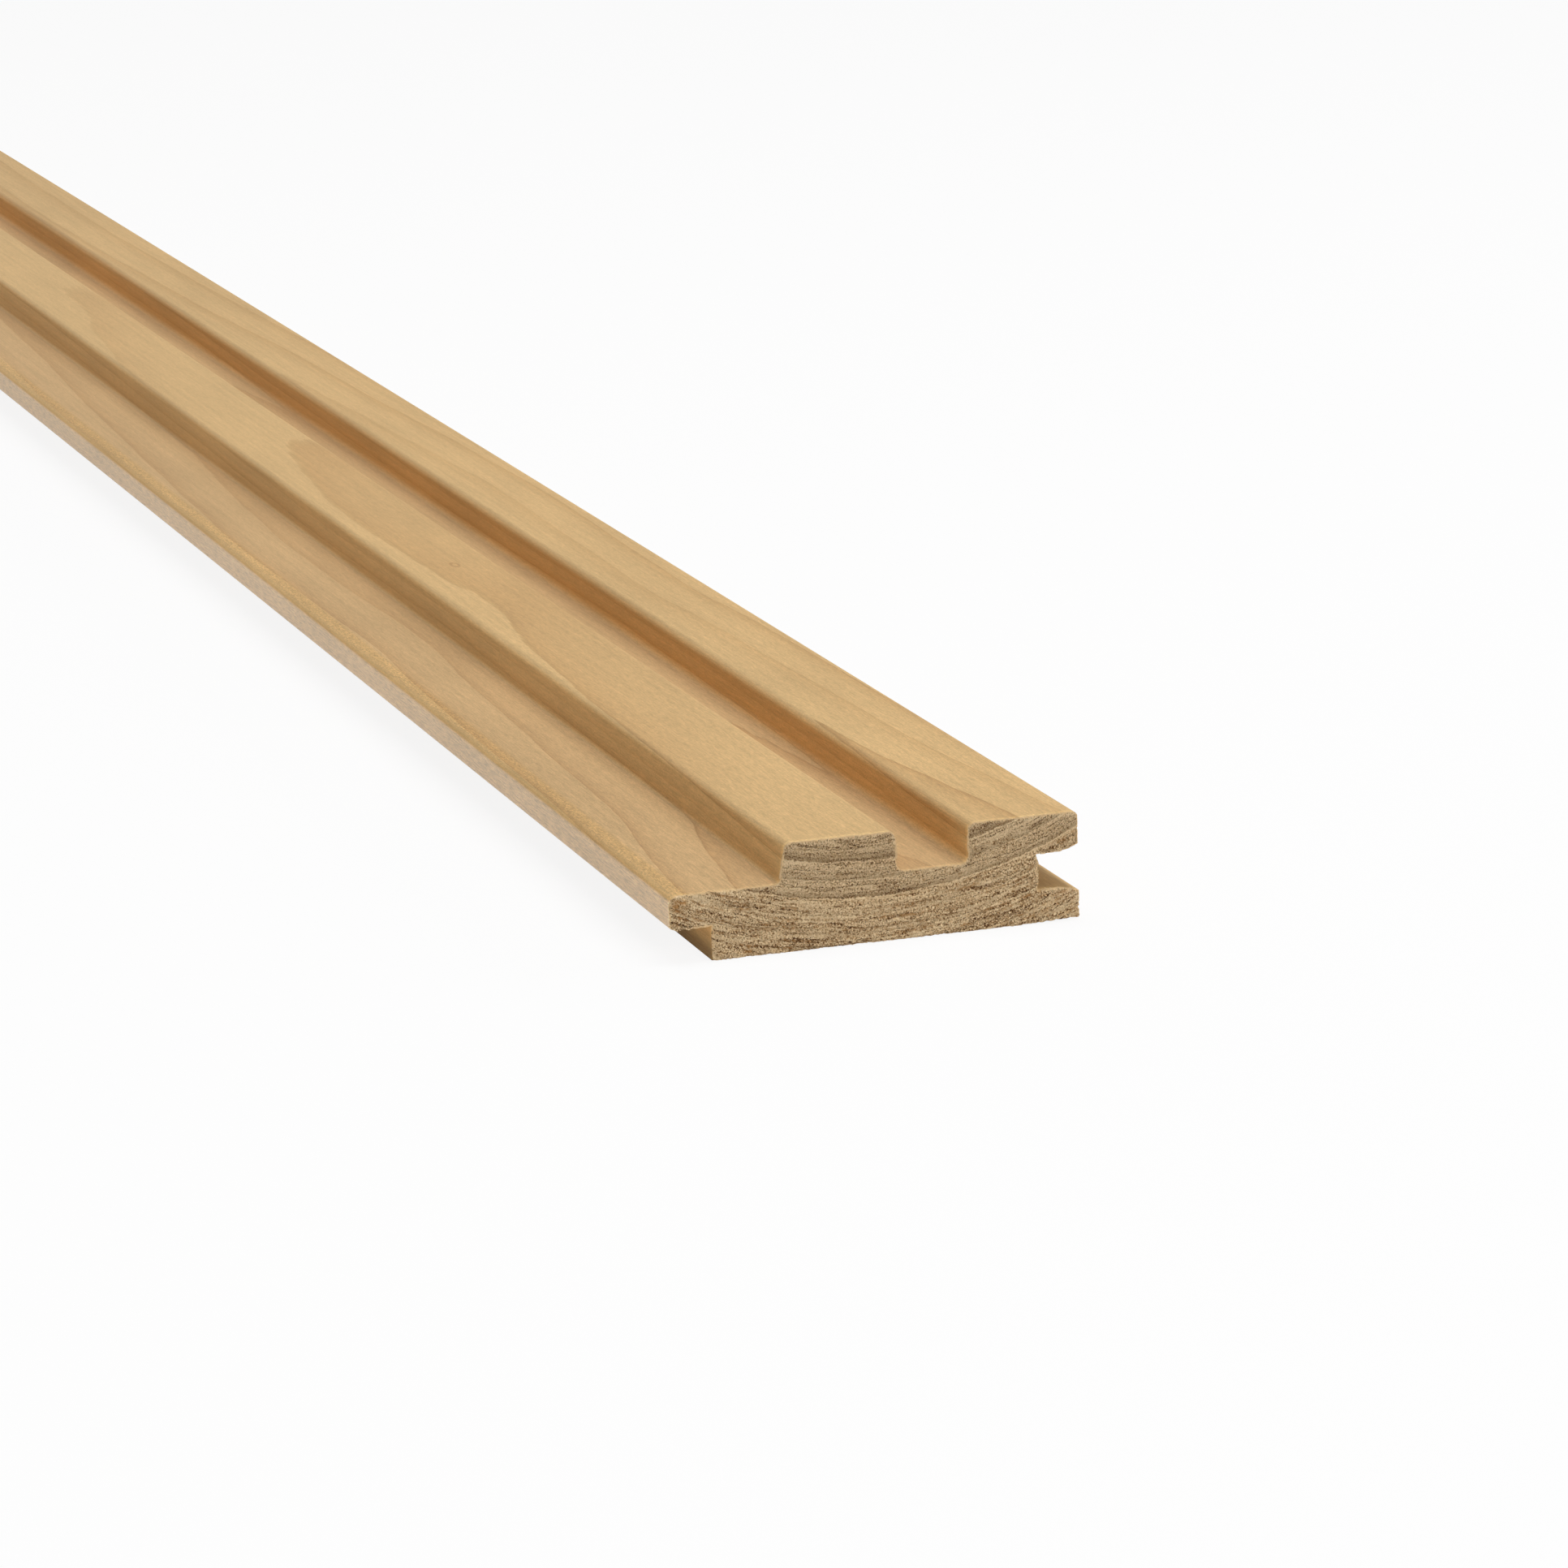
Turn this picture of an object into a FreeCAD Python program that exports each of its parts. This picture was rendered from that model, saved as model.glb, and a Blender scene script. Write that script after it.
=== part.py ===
import FreeCAD, Part
import enum
import math
import os
import Sketcher

# Tongue and groove cladding board, one planed piece of hardwood.
# It lies on its back. X runs across the board, from the tongue on -X to the groove on +X,
# Y runs along it and Z is up through its moulded face. The origin is under the middle of the board.
#
# Its section is set out as on the moulder that cuts it, from two datums: the back, and the wall
# that the tongue grows out of. Across the board, the shelf, strip, channel and edge strip follow
# one another from that wall and make up the width that a laid board covers. From the back up,
# the rebate, the tongue and the face's relief make up the thickness.

NODE = "tongue_groove_board"

# Driving sizes in millimetres, with what each of them measures

SIZES = [
    ("board_length", 1800.0, "length of the board"),
    ("shelf_width", 16.6, "low shelf beside the tongue, which becomes the gap between laid boards"),
    ("strip_width", 28.6, "raised middle strip, at its foot"),
    ("strip_lean", 1.35, "how far the middle strip's left wall leans in over its height"),
    ("channel_width", 17.5, "channel in the face, between its walls"),
    ("edge_strip_width", 27.3, "raised strip over the groove, out to the grooved edge"),
    ("rebate_height", 8.3, "rebate under the tongue, from the back up"),
    ("tongue_thickness", 8.1, "tongue, from its underside up to the shelf"),
    ("face_depth", 9.6, "how far the shelf and the channel lie below the raised strips"),
    ("tongue_reach", 10.0, "how far the tongue stands out from its wall"),
    ("side_clearance", 0.2, "gap above and below a tongue in its groove"),
    ("tip_clearance", 0.3, "gap between a tongue's tip and the bottom of its groove"),
    ("upper_lead_run", 6.2, "width of the rounded lead-in under the groove's upper lip"),
    ("upper_lead_rise", 1.65, "how far that lead-in opens the groove at the edge"),
    ("lower_lead_run", 5.3, "width of the rounded lead-in on the groove's lower lip"),
    ("lower_lead_rise", 1.15, "how far that lead-in opens the groove at the edge"),
    ("relief_run", 14.7, "width of the eased part of the back, at the grooved edge"),
    ("relief_rise", 0.5, "how far the back is eased at that edge"),
    ("strip_arris", 2.0, "rounding of the strips beside the channel"),
    ("edge_arris", 1.5, "rounding of the middle strip's left corner and of the grooved edge"),
    ("tongue_arris", 2.2, "rounding on top of the tongue's tip"),
    ("tongue_corner", 0.9, "rounding under the tongue's tip"),
    ("channel_cove", 2.0, "cove at the foot of the channel's walls"),
    ("shelf_cove", 1.0, "cove where the shelf meets the middle strip"),
    ("back_corner", 0.5, "rounding of the back at the grooved edge"),
]

# Places across the board, from the tongue's wall, and heights above the back

TONGUE_TIP = "-Sheet.tongue_reach"
WALL = "0"
STRIP_FOOT = "Sheet.shelf_width"
STRIP_SHOULDER = STRIP_FOOT + " + Sheet.strip_lean"
CHANNEL_LEFT = STRIP_FOOT + " + Sheet.strip_width"
CHANNEL_RIGHT = CHANNEL_LEFT + " + Sheet.channel_width"
GROOVED_EDGE = CHANNEL_RIGHT + " + Sheet.edge_strip_width"
GROOVE_BOTTOM = GROOVED_EDGE + " - Sheet.tongue_reach - Sheet.tip_clearance"
UPPER_LEAD = GROOVED_EDGE + " - Sheet.upper_lead_run"
LOWER_LEAD = GROOVED_EDGE + " - Sheet.lower_lead_run"
RELIEF_START = GROOVED_EDGE + " - Sheet.relief_run"

BACK = "0"
RELIEF_TOP = "Sheet.relief_rise"
TONGUE_UNDERSIDE = "Sheet.rebate_height"
SHELF = TONGUE_UNDERSIDE + " + Sheet.tongue_thickness"
FACE = SHELF + " + Sheet.face_depth"
GROOVE_FLOOR = TONGUE_UNDERSIDE + " - Sheet.side_clearance"
GROOVE_ROOF = SHELF + " + Sheet.side_clearance"
UPPER_LIP_EDGE = GROOVE_ROOF + " + Sheet.upper_lead_rise"
LOWER_LIP_EDGE = GROOVE_FLOOR + " - Sheet.lower_lead_rise"

# From the middle of the whole board, tongue and all, to the tongue's wall

WALL_FROM_MIDDLE = "(Sheet.tongue_reach - (" + GROOVED_EDGE + ")) / 2"


class Spot(enum.IntEnum):
    """The points of a line or an arc, as the sketcher numbers them."""

    START = 1
    END = 2
    CENTRE = 3


class Axis(enum.IntEnum):
    """The sketch's own axes, as the sketcher numbers them."""

    ACROSS = -1
    UPRIGHT = -2


def fill_sheet(doc):
    """Make the sheet of driving sizes, one alias for each."""
    sheet = doc.addObject("Spreadsheet::Sheet", "Sheet")
    for row, (name, value, meaning) in enumerate(SIZES, start=1):
        sheet.set("A%d" % row, name)
        sheet.set("B%d" % row, str(value))
        sheet.set("C%d" % row, meaning)
        sheet.setAlias("B%d" % row, name)
    doc.recompute()
    return sheet


def size_of(sheet, expression):
    """Return the plain number that an expression on the sheet gives, in millimetres."""
    value = sheet.evalExpression(expression)
    return float(getattr(value, "Value", value))


def section_sketch(body, name):
    """Make an empty sketch across the board, with its origin where the tongue's wall meets the back."""
    sketch = body.newObject("Sketcher::SketchObject", name)
    plane = next(p for p in body.Origin.OriginFeatures if p.Role == "XZ_Plane")
    sketch.AttachmentSupport = [(plane, "")]
    sketch.MapMode = "FlatFace"
    sketch.setExpression(".AttachmentOffset.Base.x", WALL_FROM_MIDDLE)
    return sketch


def tie_point(sketch, point, across, up):
    """Hold one point of a sketch at a place across the board and a height above its back."""
    if across == WALL:
        sketch.addConstraint(Sketcher.Constraint("PointOnObject", *point, Axis.UPRIGHT))
    else:
        tie_distance(sketch, "DistanceX", point, across)
    if up == BACK:
        sketch.addConstraint(Sketcher.Constraint("PointOnObject", *point, Axis.ACROSS))
    else:
        tie_distance(sketch, "DistanceY", point, up)


def tie_distance(sketch, kind, point, expression):
    """Bind one point's distance from the sketch's origin to the sheet."""
    start = size_of(sketch.Document.Sheet, expression)
    index = sketch.addConstraint(Sketcher.Constraint(kind, Axis.ACROSS, Spot.START, *point, start))
    sketch.setExpression("Constraints[%d]" % index, expression)


def add_line(sketch, start, end):
    """Draw a line between two (across, up) places and return its number."""
    ends = [FreeCAD.Vector(size_of(sketch.Document.Sheet, x), size_of(sketch.Document.Sheet, z), 0)
            for x, z in (start, end)]
    return sketch.addGeometry(Part.LineSegment(*ends))


def draw_outline(body, name, corners):
    """Draw a closed outline of straight sides, each corner tied to the sheet."""
    sketch = section_sketch(body, name)
    count = len(corners)
    lines = [add_line(sketch, corners[i], corners[(i + 1) % count]) for i in range(count)]
    for i, line in enumerate(lines):
        following = lines[(i + 1) % count]
        sketch.addConstraint(Sketcher.Constraint("Coincident", line, Spot.END, following, Spot.START))
        tie_point(sketch, (line, Spot.START), *corners[i])
    return sketch


def rectangle(left, right, low, high):
    """Return the corners of an upright rectangle, anticlockwise from the lower left."""
    return [(left, low), (right, low), (right, high), (left, high)]


def plane_away(body, sketch):
    """Cut a sketch's outline away along the whole board."""
    before = body.Shape.Volume
    cut = body.newObject("PartDesign::Pocket", sketch.Name + "Cut")
    cut.Profile = sketch
    cut.Type = "ThroughAll"
    cut.SideType = "Symmetric"
    body.Document.recompute()
    if not body.Shape.Volume < before:
        raise RuntimeError(cut.Name + " removes nothing")


def add_lead_in(sketch, flat, flat_end, inner, outer):
    """Draw a lead-in that leaves the groove's flat without a corner and opens towards the edge."""
    sheet = sketch.Document.Sheet
    x_in, z_in = (size_of(sheet, expression) for expression in inner)
    x_out, z_out = (size_of(sheet, expression) for expression in outer)
    half_turn = math.atan2(z_out - z_in, x_out - x_in)
    radius = (x_out - x_in) / math.sin(2 * half_turn)
    x_half = x_in + radius * math.sin(half_turn)
    z_half = z_in + radius * (1 - math.cos(half_turn))
    ends = [FreeCAD.Vector(x, z, 0) for x, z in ((x_in, z_in), (x_half, z_half), (x_out, z_out))]
    arc = sketch.addGeometry(Part.Arc(*ends))
    # An arc's ends run anticlockwise, so the lead-in that opens downwards starts at the edge.
    arc_in, arc_out = (Spot.START, Spot.END) if half_turn > 0 else (Spot.END, Spot.START)
    sketch.addConstraint(Sketcher.Constraint("Coincident", arc, arc_in, flat, flat_end))
    sketch.addConstraint(Sketcher.Constraint("Vertical", arc, Spot.CENTRE, flat, flat_end))
    tie_point(sketch, (arc, arc_out), *outer)
    return arc, arc_out


def draw_groove(body):
    """Draw the edge groove: a flat-bottomed slot with a rounded lead-in on each lip."""
    sketch = section_sketch(body, "EdgeGroove")
    floor = add_line(sketch, (LOWER_LEAD, GROOVE_FLOOR), (GROOVE_BOTTOM, GROOVE_FLOOR))
    bottom = add_line(sketch, (GROOVE_BOTTOM, GROOVE_FLOOR), (GROOVE_BOTTOM, GROOVE_ROOF))
    roof = add_line(sketch, (GROOVE_BOTTOM, GROOVE_ROOF), (UPPER_LEAD, GROOVE_ROOF))
    mouth = add_line(sketch, (GROOVED_EDGE, UPPER_LIP_EDGE), (GROOVED_EDGE, LOWER_LIP_EDGE))
    sketch.addConstraint(Sketcher.Constraint("Coincident", floor, Spot.END, bottom, Spot.START))
    sketch.addConstraint(Sketcher.Constraint("Coincident", bottom, Spot.END, roof, Spot.START))
    tie_point(sketch, (floor, Spot.START), LOWER_LEAD, GROOVE_FLOOR)
    tie_point(sketch, (bottom, Spot.START), GROOVE_BOTTOM, GROOVE_FLOOR)
    tie_point(sketch, (bottom, Spot.END), GROOVE_BOTTOM, GROOVE_ROOF)
    tie_point(sketch, (roof, Spot.END), UPPER_LEAD, GROOVE_ROOF)

    upper_inner, upper_outer = (UPPER_LEAD, GROOVE_ROOF), (GROOVED_EDGE, UPPER_LIP_EDGE)
    lower_inner, lower_outer = (LOWER_LEAD, GROOVE_FLOOR), (GROOVED_EDGE, LOWER_LIP_EDGE)
    upper = add_lead_in(sketch, roof, Spot.END, upper_inner, upper_outer)
    lower = add_lead_in(sketch, floor, Spot.START, lower_inner, lower_outer)
    sketch.addConstraint(Sketcher.Constraint("Coincident", mouth, Spot.START, *upper))
    sketch.addConstraint(Sketcher.Constraint("Coincident", mouth, Spot.END, *lower))
    return sketch


def long_edges(body, places, near=1e-4):
    """Name the edges that run along the board at the given (across, up) places."""
    sheet = body.Document.Sheet
    wall = size_of(sheet, WALL_FROM_MIDDLE)
    names = []
    for across, up in places:
        x = wall + size_of(sheet, across)
        z = size_of(sheet, up)
        found = [number for number, edge in enumerate(body.Shape.Edges, start=1)
                 if all(abs(v.X - x) < near and abs(v.Z - z) < near for v in edge.Vertexes)]
        if len(found) != 1:
            raise RuntimeError("no single long edge at %.3f, %.3f" % (x, z))
        names.append("Edge%d" % found[0])
    return names


def round_off(body, name, radius, places):
    """Round the long edges at the given places, outward corners and inward ones alike."""
    unrounded = body.Tip
    edges = long_edges(body, places)
    fillet = body.newObject("PartDesign::Fillet", name)
    fillet.Base = (unrounded, edges)
    fillet.setExpression("Radius", radius)
    body.Document.recompute()


def make_board(doc):
    """Plane the board from its sawn blank: tongue, shelf, channel, groove, eased back, then roundings."""
    body = doc.addObject("PartDesign::Body", "Board")
    body.Label = NODE

    blank = body.newObject("PartDesign::Pad", "Blank")
    blank.Profile = draw_outline(body, "BlankSection", rectangle(TONGUE_TIP, GROOVED_EDGE, BACK, FACE))
    blank.SideType = "Symmetric"
    blank.setExpression("Length", "Sheet.board_length")
    doc.recompute()

    plane_away(body, draw_outline(body, "TongueRebate", rectangle(TONGUE_TIP, WALL, BACK, TONGUE_UNDERSIDE)))
    plane_away(body, draw_outline(body, "FaceShelf", [
        (TONGUE_TIP, SHELF), (STRIP_FOOT, SHELF), (STRIP_SHOULDER, FACE), (TONGUE_TIP, FACE)]))
    plane_away(body, draw_outline(body, "FaceChannel",
                                  rectangle(CHANNEL_LEFT, CHANNEL_RIGHT, SHELF, FACE)))
    plane_away(body, draw_groove(body))
    plane_away(body, draw_outline(body, "BackRelief", [
        (RELIEF_START, BACK), (GROOVED_EDGE, BACK), (GROOVED_EDGE, RELIEF_TOP)]))

    round_off(body, "StripArrises", "Sheet.strip_arris", [(CHANNEL_LEFT, FACE), (CHANNEL_RIGHT, FACE)])
    round_off(body, "EdgeArrises", "Sheet.edge_arris", [(STRIP_SHOULDER, FACE), (GROOVED_EDGE, FACE)])
    round_off(body, "TongueArris", "Sheet.tongue_arris", [(TONGUE_TIP, SHELF)])
    round_off(body, "TongueCorner", "Sheet.tongue_corner", [(TONGUE_TIP, TONGUE_UNDERSIDE)])
    round_off(body, "ChannelCoves", "Sheet.channel_cove",
              [(CHANNEL_LEFT, SHELF), (CHANNEL_RIGHT, SHELF)])
    round_off(body, "ShelfCove", "Sheet.shelf_cove", [(STRIP_FOOT, SHELF)])
    round_off(body, "BackCorner", "Sheet.back_corner", [(GROOVED_EDGE, RELIEF_TOP)])
    return body


def check_objects(doc):
    """Stop if any object of the document failed to build."""
    for item in doc.Objects:
        if "Invalid" in item.State or "Error" in item.State:
            raise RuntimeError(item.Name + " did not build")


def write_part(part):
    """Write one finished piece to its own file, after checking its solid."""
    if part.Shape.isNull() or not part.Shape.isValid() or len(part.Shape.Solids) != 1:
        raise RuntimeError(part.Label + " is not one valid solid")
    os.makedirs("parts", exist_ok=True)
    part.Shape.exportStep("parts/%s.step" % part.Label)


document = FreeCAD.newDocument("TongueGrooveBoard")
fill_sheet(document)
board = make_board(document)
document.recompute()
check_objects(document)
write_part(board)
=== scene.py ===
"""Looks of a tongue and groove board: one planed length of hardwood, sawn square at both ends."""

import logging
import math
from collections.abc import Iterable, Sequence
from dataclasses import dataclass
from enum import Enum, IntEnum

import bmesh
import bpy
from mathutils import Matrix, Vector, kdtree, noise

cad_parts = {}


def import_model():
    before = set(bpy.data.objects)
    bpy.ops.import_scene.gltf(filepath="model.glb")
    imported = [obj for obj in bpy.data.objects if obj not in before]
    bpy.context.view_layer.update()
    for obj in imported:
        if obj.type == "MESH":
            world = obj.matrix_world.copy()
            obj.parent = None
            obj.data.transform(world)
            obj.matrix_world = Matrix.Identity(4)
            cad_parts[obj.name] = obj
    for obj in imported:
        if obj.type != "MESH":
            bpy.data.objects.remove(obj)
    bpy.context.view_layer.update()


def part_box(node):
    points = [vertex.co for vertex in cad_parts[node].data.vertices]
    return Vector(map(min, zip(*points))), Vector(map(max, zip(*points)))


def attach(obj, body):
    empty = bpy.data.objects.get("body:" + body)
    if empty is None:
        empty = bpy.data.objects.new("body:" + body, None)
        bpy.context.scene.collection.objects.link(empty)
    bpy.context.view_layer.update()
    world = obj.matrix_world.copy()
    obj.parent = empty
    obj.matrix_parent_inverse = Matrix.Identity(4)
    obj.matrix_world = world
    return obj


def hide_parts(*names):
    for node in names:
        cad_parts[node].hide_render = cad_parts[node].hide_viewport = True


LOG = logging.getLogger("tongue_groove_board")

NODE = "tongue_groove_board"
BODY = "root"
MM = 0.001
RIM, TORN = "rim", "torn"

Pair = tuple[float, float]
Triple = tuple[float, float, float]
Band = tuple[float, float, float]
Colour = tuple[float, float, float, float]
WHITE: Colour = (1.0, 1.0, 1.0, 1.0)


class End(Enum):
    """The two sawn ends of the board, with the way each one faces along Y."""

    NEAR = -1.0
    FAR = 1.0


class Face(IntEnum):
    """Material slots of the board's mesh."""

    PLANED = 0
    SAWN = 1


# Section


@dataclass(frozen=True)
class Corner:
    """One long corner of the board.

    Attributes:
        across: Place across the board, in metres.
        up: Height above the back, in metres.
        radius: Rounding, in metres, or 0 where the corner is sharp.
    """

    across: float
    up: float
    radius: float = 0.0


@dataclass(frozen=True)
class Section:
    """The moulded section, set out from the part's box and the moulder's sizes, in metres.

    Attributes:
        low: Lowest corner of the board's box.
        high: Highest corner of the board's box.
        tongue_reach: Length of the tongue.
        shelf_width: Width of the shelf between the tongue's wall and the middle strip.
        strip_width: Width of the middle strip at its foot.
        strip_lean: How far the strip's wall on the shelf leans back.
        channel_width: Width of the channel.
        rebate_height: Height of the tongue's underside above the back.
        tongue_thickness: Thickness of the tongue.
        side_clearance: Room that the groove leaves above and below a tongue.
        groove_depth: Depth of the groove.
        upper_lead: Width and rise of the upper lip's lead-in.
        lower_lead: Width and rise of the lower lip's lead-in.
        back_relief: Width and depth of the easing of the back under the groove.
        strip_arris: Rounding of the two strips beside the channel.
        edge_arris: Rounding of the middle strip's other side and of the grooved edge.
        tongue_arris: Rounding of the tongue's top.
        tongue_corner: Rounding of the tongue's underside.
        channel_cove: Rounding at the foot of the channel's walls.
        shelf_cove: Rounding where the shelf meets the middle strip.
        back_corner: Rounding of the eased back's corner.
        lip_corner: Rounding of each lip's inner corner.
        lead_steps: Number of corners along a lead-in.
    """

    low: Vector
    high: Vector
    tongue_reach: float = 10.0 * MM
    shelf_width: float = 16.6 * MM
    strip_width: float = 28.6 * MM
    strip_lean: float = 1.35 * MM
    channel_width: float = 17.5 * MM
    rebate_height: float = 8.3 * MM
    tongue_thickness: float = 8.1 * MM
    side_clearance: float = 0.2 * MM
    groove_depth: float = 10.3 * MM
    upper_lead: Pair = (6.2 * MM, 1.65 * MM)
    lower_lead: Pair = (5.3 * MM, -1.15 * MM)
    back_relief: Pair = (14.7 * MM, 0.5 * MM)
    strip_arris: float = 2.0 * MM
    edge_arris: float = 1.5 * MM
    tongue_arris: float = 2.2 * MM
    tongue_corner: float = 0.9 * MM
    channel_cove: float = 2.0 * MM
    shelf_cove: float = 1.0 * MM
    back_corner: float = 0.5 * MM
    lip_corner: float = 0.25 * MM
    lead_steps: int = 6

    @property
    def wall(self) -> float:
        """Place of the wall that the tongue grows out of."""
        return self.low.x + self.tongue_reach

    @property
    def shelf(self) -> float:
        """Height of the shelf, the channel's floor and the tongue's top."""
        return self.low.z + self.rebate_height + self.tongue_thickness

    def corners(self) -> list[Corner]:
        """Set out the section's corners, anticlockwise as seen along the board.

        Returns:
            The corners, starting where the wall under the tongue meets the back.
        """
        edge, face, back, shelf = self.high.x, self.high.z, self.low.z, self.shelf
        strip_foot = self.wall + self.shelf_width
        channel_left = strip_foot + self.strip_width
        channel_right = channel_left + self.channel_width
        underside = back + self.rebate_height
        groove_bottom = edge - self.groove_depth
        floor = underside - self.side_clearance
        roof = shelf + self.side_clearance
        lower = self._lead_in(edge, floor, self.lower_lead)
        upper = self._lead_in(edge, roof, self.upper_lead)
        return [
            Corner(self.wall, back),
            Corner(edge - self.back_relief[0], back),
            Corner(edge, back + self.back_relief[1], self.back_corner),
            *reversed(lower),
            Corner(groove_bottom, floor),
            Corner(groove_bottom, roof),
            *upper,
            Corner(edge, face, self.edge_arris),
            Corner(channel_right, face, self.strip_arris),
            Corner(channel_right, shelf, self.channel_cove),
            Corner(channel_left, shelf, self.channel_cove),
            Corner(channel_left, face, self.strip_arris),
            Corner(strip_foot + self.strip_lean, face, self.edge_arris),
            Corner(strip_foot, shelf, self.shelf_cove),
            Corner(self.low.x, shelf, self.tongue_arris),
            Corner(self.low.x, underside, self.tongue_corner),
            Corner(self.wall, underside),
        ]

    def _lead_in(self, edge: float, flat: float, lead: Pair) -> list[Corner]:
        """Follow a lead-in from the groove's flat out to the edge.

        Args:
            edge: Place of the grooved edge.
            flat: Height of the groove's flat.
            lead: Width of the lead-in and how far it rises, or falls if negative.

        Returns:
            Corners along the arc, the last of them on the edge.
        """
        run, rise = lead
        half_turn = math.atan2(rise, run)
        radius = run / math.sin(2 * half_turn)
        angles = [2 * half_turn * step / self.lead_steps for step in range(self.lead_steps)]
        arc = [Corner(edge - run + radius * math.sin(angle), flat + radius * (1 - math.cos(angle)))
               for angle in angles]
        return [*arc, Corner(edge, flat + rise, self.lip_corner)]


# Patterns


def held(value: float) -> float:
    """Hold a value between 0 and 1."""
    return min(max(value, 0.0), 1.0)


@dataclass(frozen=True)
class Grain:
    """A noise or a pattern of crumbs that is stretched along the axes.

    Attributes:
        scale: Patches per millimetre along each axis.
        seed: Shift that makes this pattern its own.
        detail: Number of finer layers.
        roughness: How much the finer layers count.
    """

    scale: Triple
    seed: float
    detail: float = 2.0
    roughness: float = 0.5


@dataclass(frozen=True)
class Streak:
    """Marks that show where a noise passes a threshold.

    Attributes:
        grain: The noise.
        none: Value of the noise at which a mark begins.
        full: Value of the noise at which it is whole.
        weight: How much lighter it makes the wood, or darker if negative.
    """

    grain: Grain
    none: float
    full: float
    weight: float


@dataclass(frozen=True)
class Ripple:
    """Noise over a sawn end, worked out for one point at a time.

    Attributes:
        first_scale: How often it changes along the first direction, per millimetre.
        second_scale: How often it changes along the second one.
        seed: Shift that makes this noise its own.
    """

    first_scale: float
    second_scale: float
    seed: float = 0.0

    def at(self, first: float, second: float, shift: float) -> float:
        """Value at a place, from -1 to 1, with the shift added to the seed."""
        return noise.noise(Vector((first * self.first_scale, shift + self.seed, second * self.second_scale)))


# Growth of the tree


@dataclass(frozen=True)
class Growth:
    """How the board lies in the tree, which gives its rings on every face.

    Lengths are in millimetres, from the middle of the board's back and from its near end. A year runs
    from 0 to 1, and a pair of shares of it is where a mask is 0 and where it is 1.

    Attributes:
        pith_height: Height of the tree's middle above the back, at the near end.
        lean: How much higher that middle is at each distance from the near end.
        boundaries: Radii at which one year's wood ends, with how plainly each shows, from 0 to 1.
        wobbles: Noises that make the rings uneven, with how far each one moves them.
        late_power: How suddenly the late wood of a year darkens.
        late_end: Shares of a year for the end of its late wood.
        line_start: Shares of a year for the start of the thin dark line at its end.
        line_end: Shares of a year for the end of that line.
        ridge: Shares of a year for the ridge at its start, which the sawn ends show with a painted
            highlight.
        coarse_from: Radius from which the sawn wood is open and torn.
        coarse_change: Distances from that radius at which it is still close and at which it is open.
    """

    pith_height: float = 125.0
    lean: tuple[Pair, ...] = (
        (0, 0), (45, 1.7), (98, 3.3), (180, 4.2), (250, 5.0), (295, 5.62), (350, 5.25), (430, 4.8),
        (500, 5.45), (535, 5.8), (570, 6.4), (700, 7.9), (880, 10.4), (1100, 11.6), (1400, 11.0),
        (1800, 13.5))
    boundaries: tuple[Pair, ...] = (
        (88.0, 0.4), (93.5, 0.6), (97.4, 0.3), (105.3, 1.0), (109.6, 0.55), (113.8, 0.9), (118.1, 0.8),
        (122.6, 0.9), (126.6, 0.6), (130.4, 0.8), (134.6, 0.5), (138.2, 0.8), (142.5, 0.6), (147.0, 0.7),
        (152.0, 0.7))
    wobbles: tuple[tuple[Grain, float], ...] = (
        (Grain((0.03, 0.006, 0.03), 3.1), 0.45), (Grain((0.16, 0.014, 0.16), 8.4), 0.28),
        (Grain((0.9, 0.07, 0.9), 5.2), 0.12))
    late_power: float = 3.6
    late_end: Pair = (1.0, 0.95)
    line_start: Pair = (0.955, 0.98)
    line_end: Pair = (1.0, 0.99)
    ridge: Pair = (0.11, 0.03)
    coarse_from: float = 114.0
    coarse_change: Pair = (-1.0, 1.5)

    def radius_at(self, across: float, up: float) -> float:
        """Distance from the tree's middle of a point on the near end, in millimetres."""
        return math.hypot(across, self.pith_height - up)

    def turn_at(self, across: float, up: float) -> float:
        """Distance of that point round the tree from the board's middle, in millimetres."""
        return math.atan2(across, self.pith_height - up) * self.pith_height

    def coarseness_at(self, radius: float) -> float:
        """How open the wood is at a radius, from 0 to 1."""
        start, stop = self.coarse_change
        return held((radius - self.coarse_from - start) / (stop - start))

    def lean_at(self, along: float) -> float:
        """Work out how much higher the tree's middle is somewhere along the board.

        Args:
            along: Distance from the near end, in millimetres.

        Returns:
            The height, in millimetres.
        """
        for (start, before), (stop, after) in zip(self.lean, self.lean[1:]):
            if along <= stop:
                return before + (after - before) * (along - start) / (stop - start)
        return self.lean[-1][1]


# Node building


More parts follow.
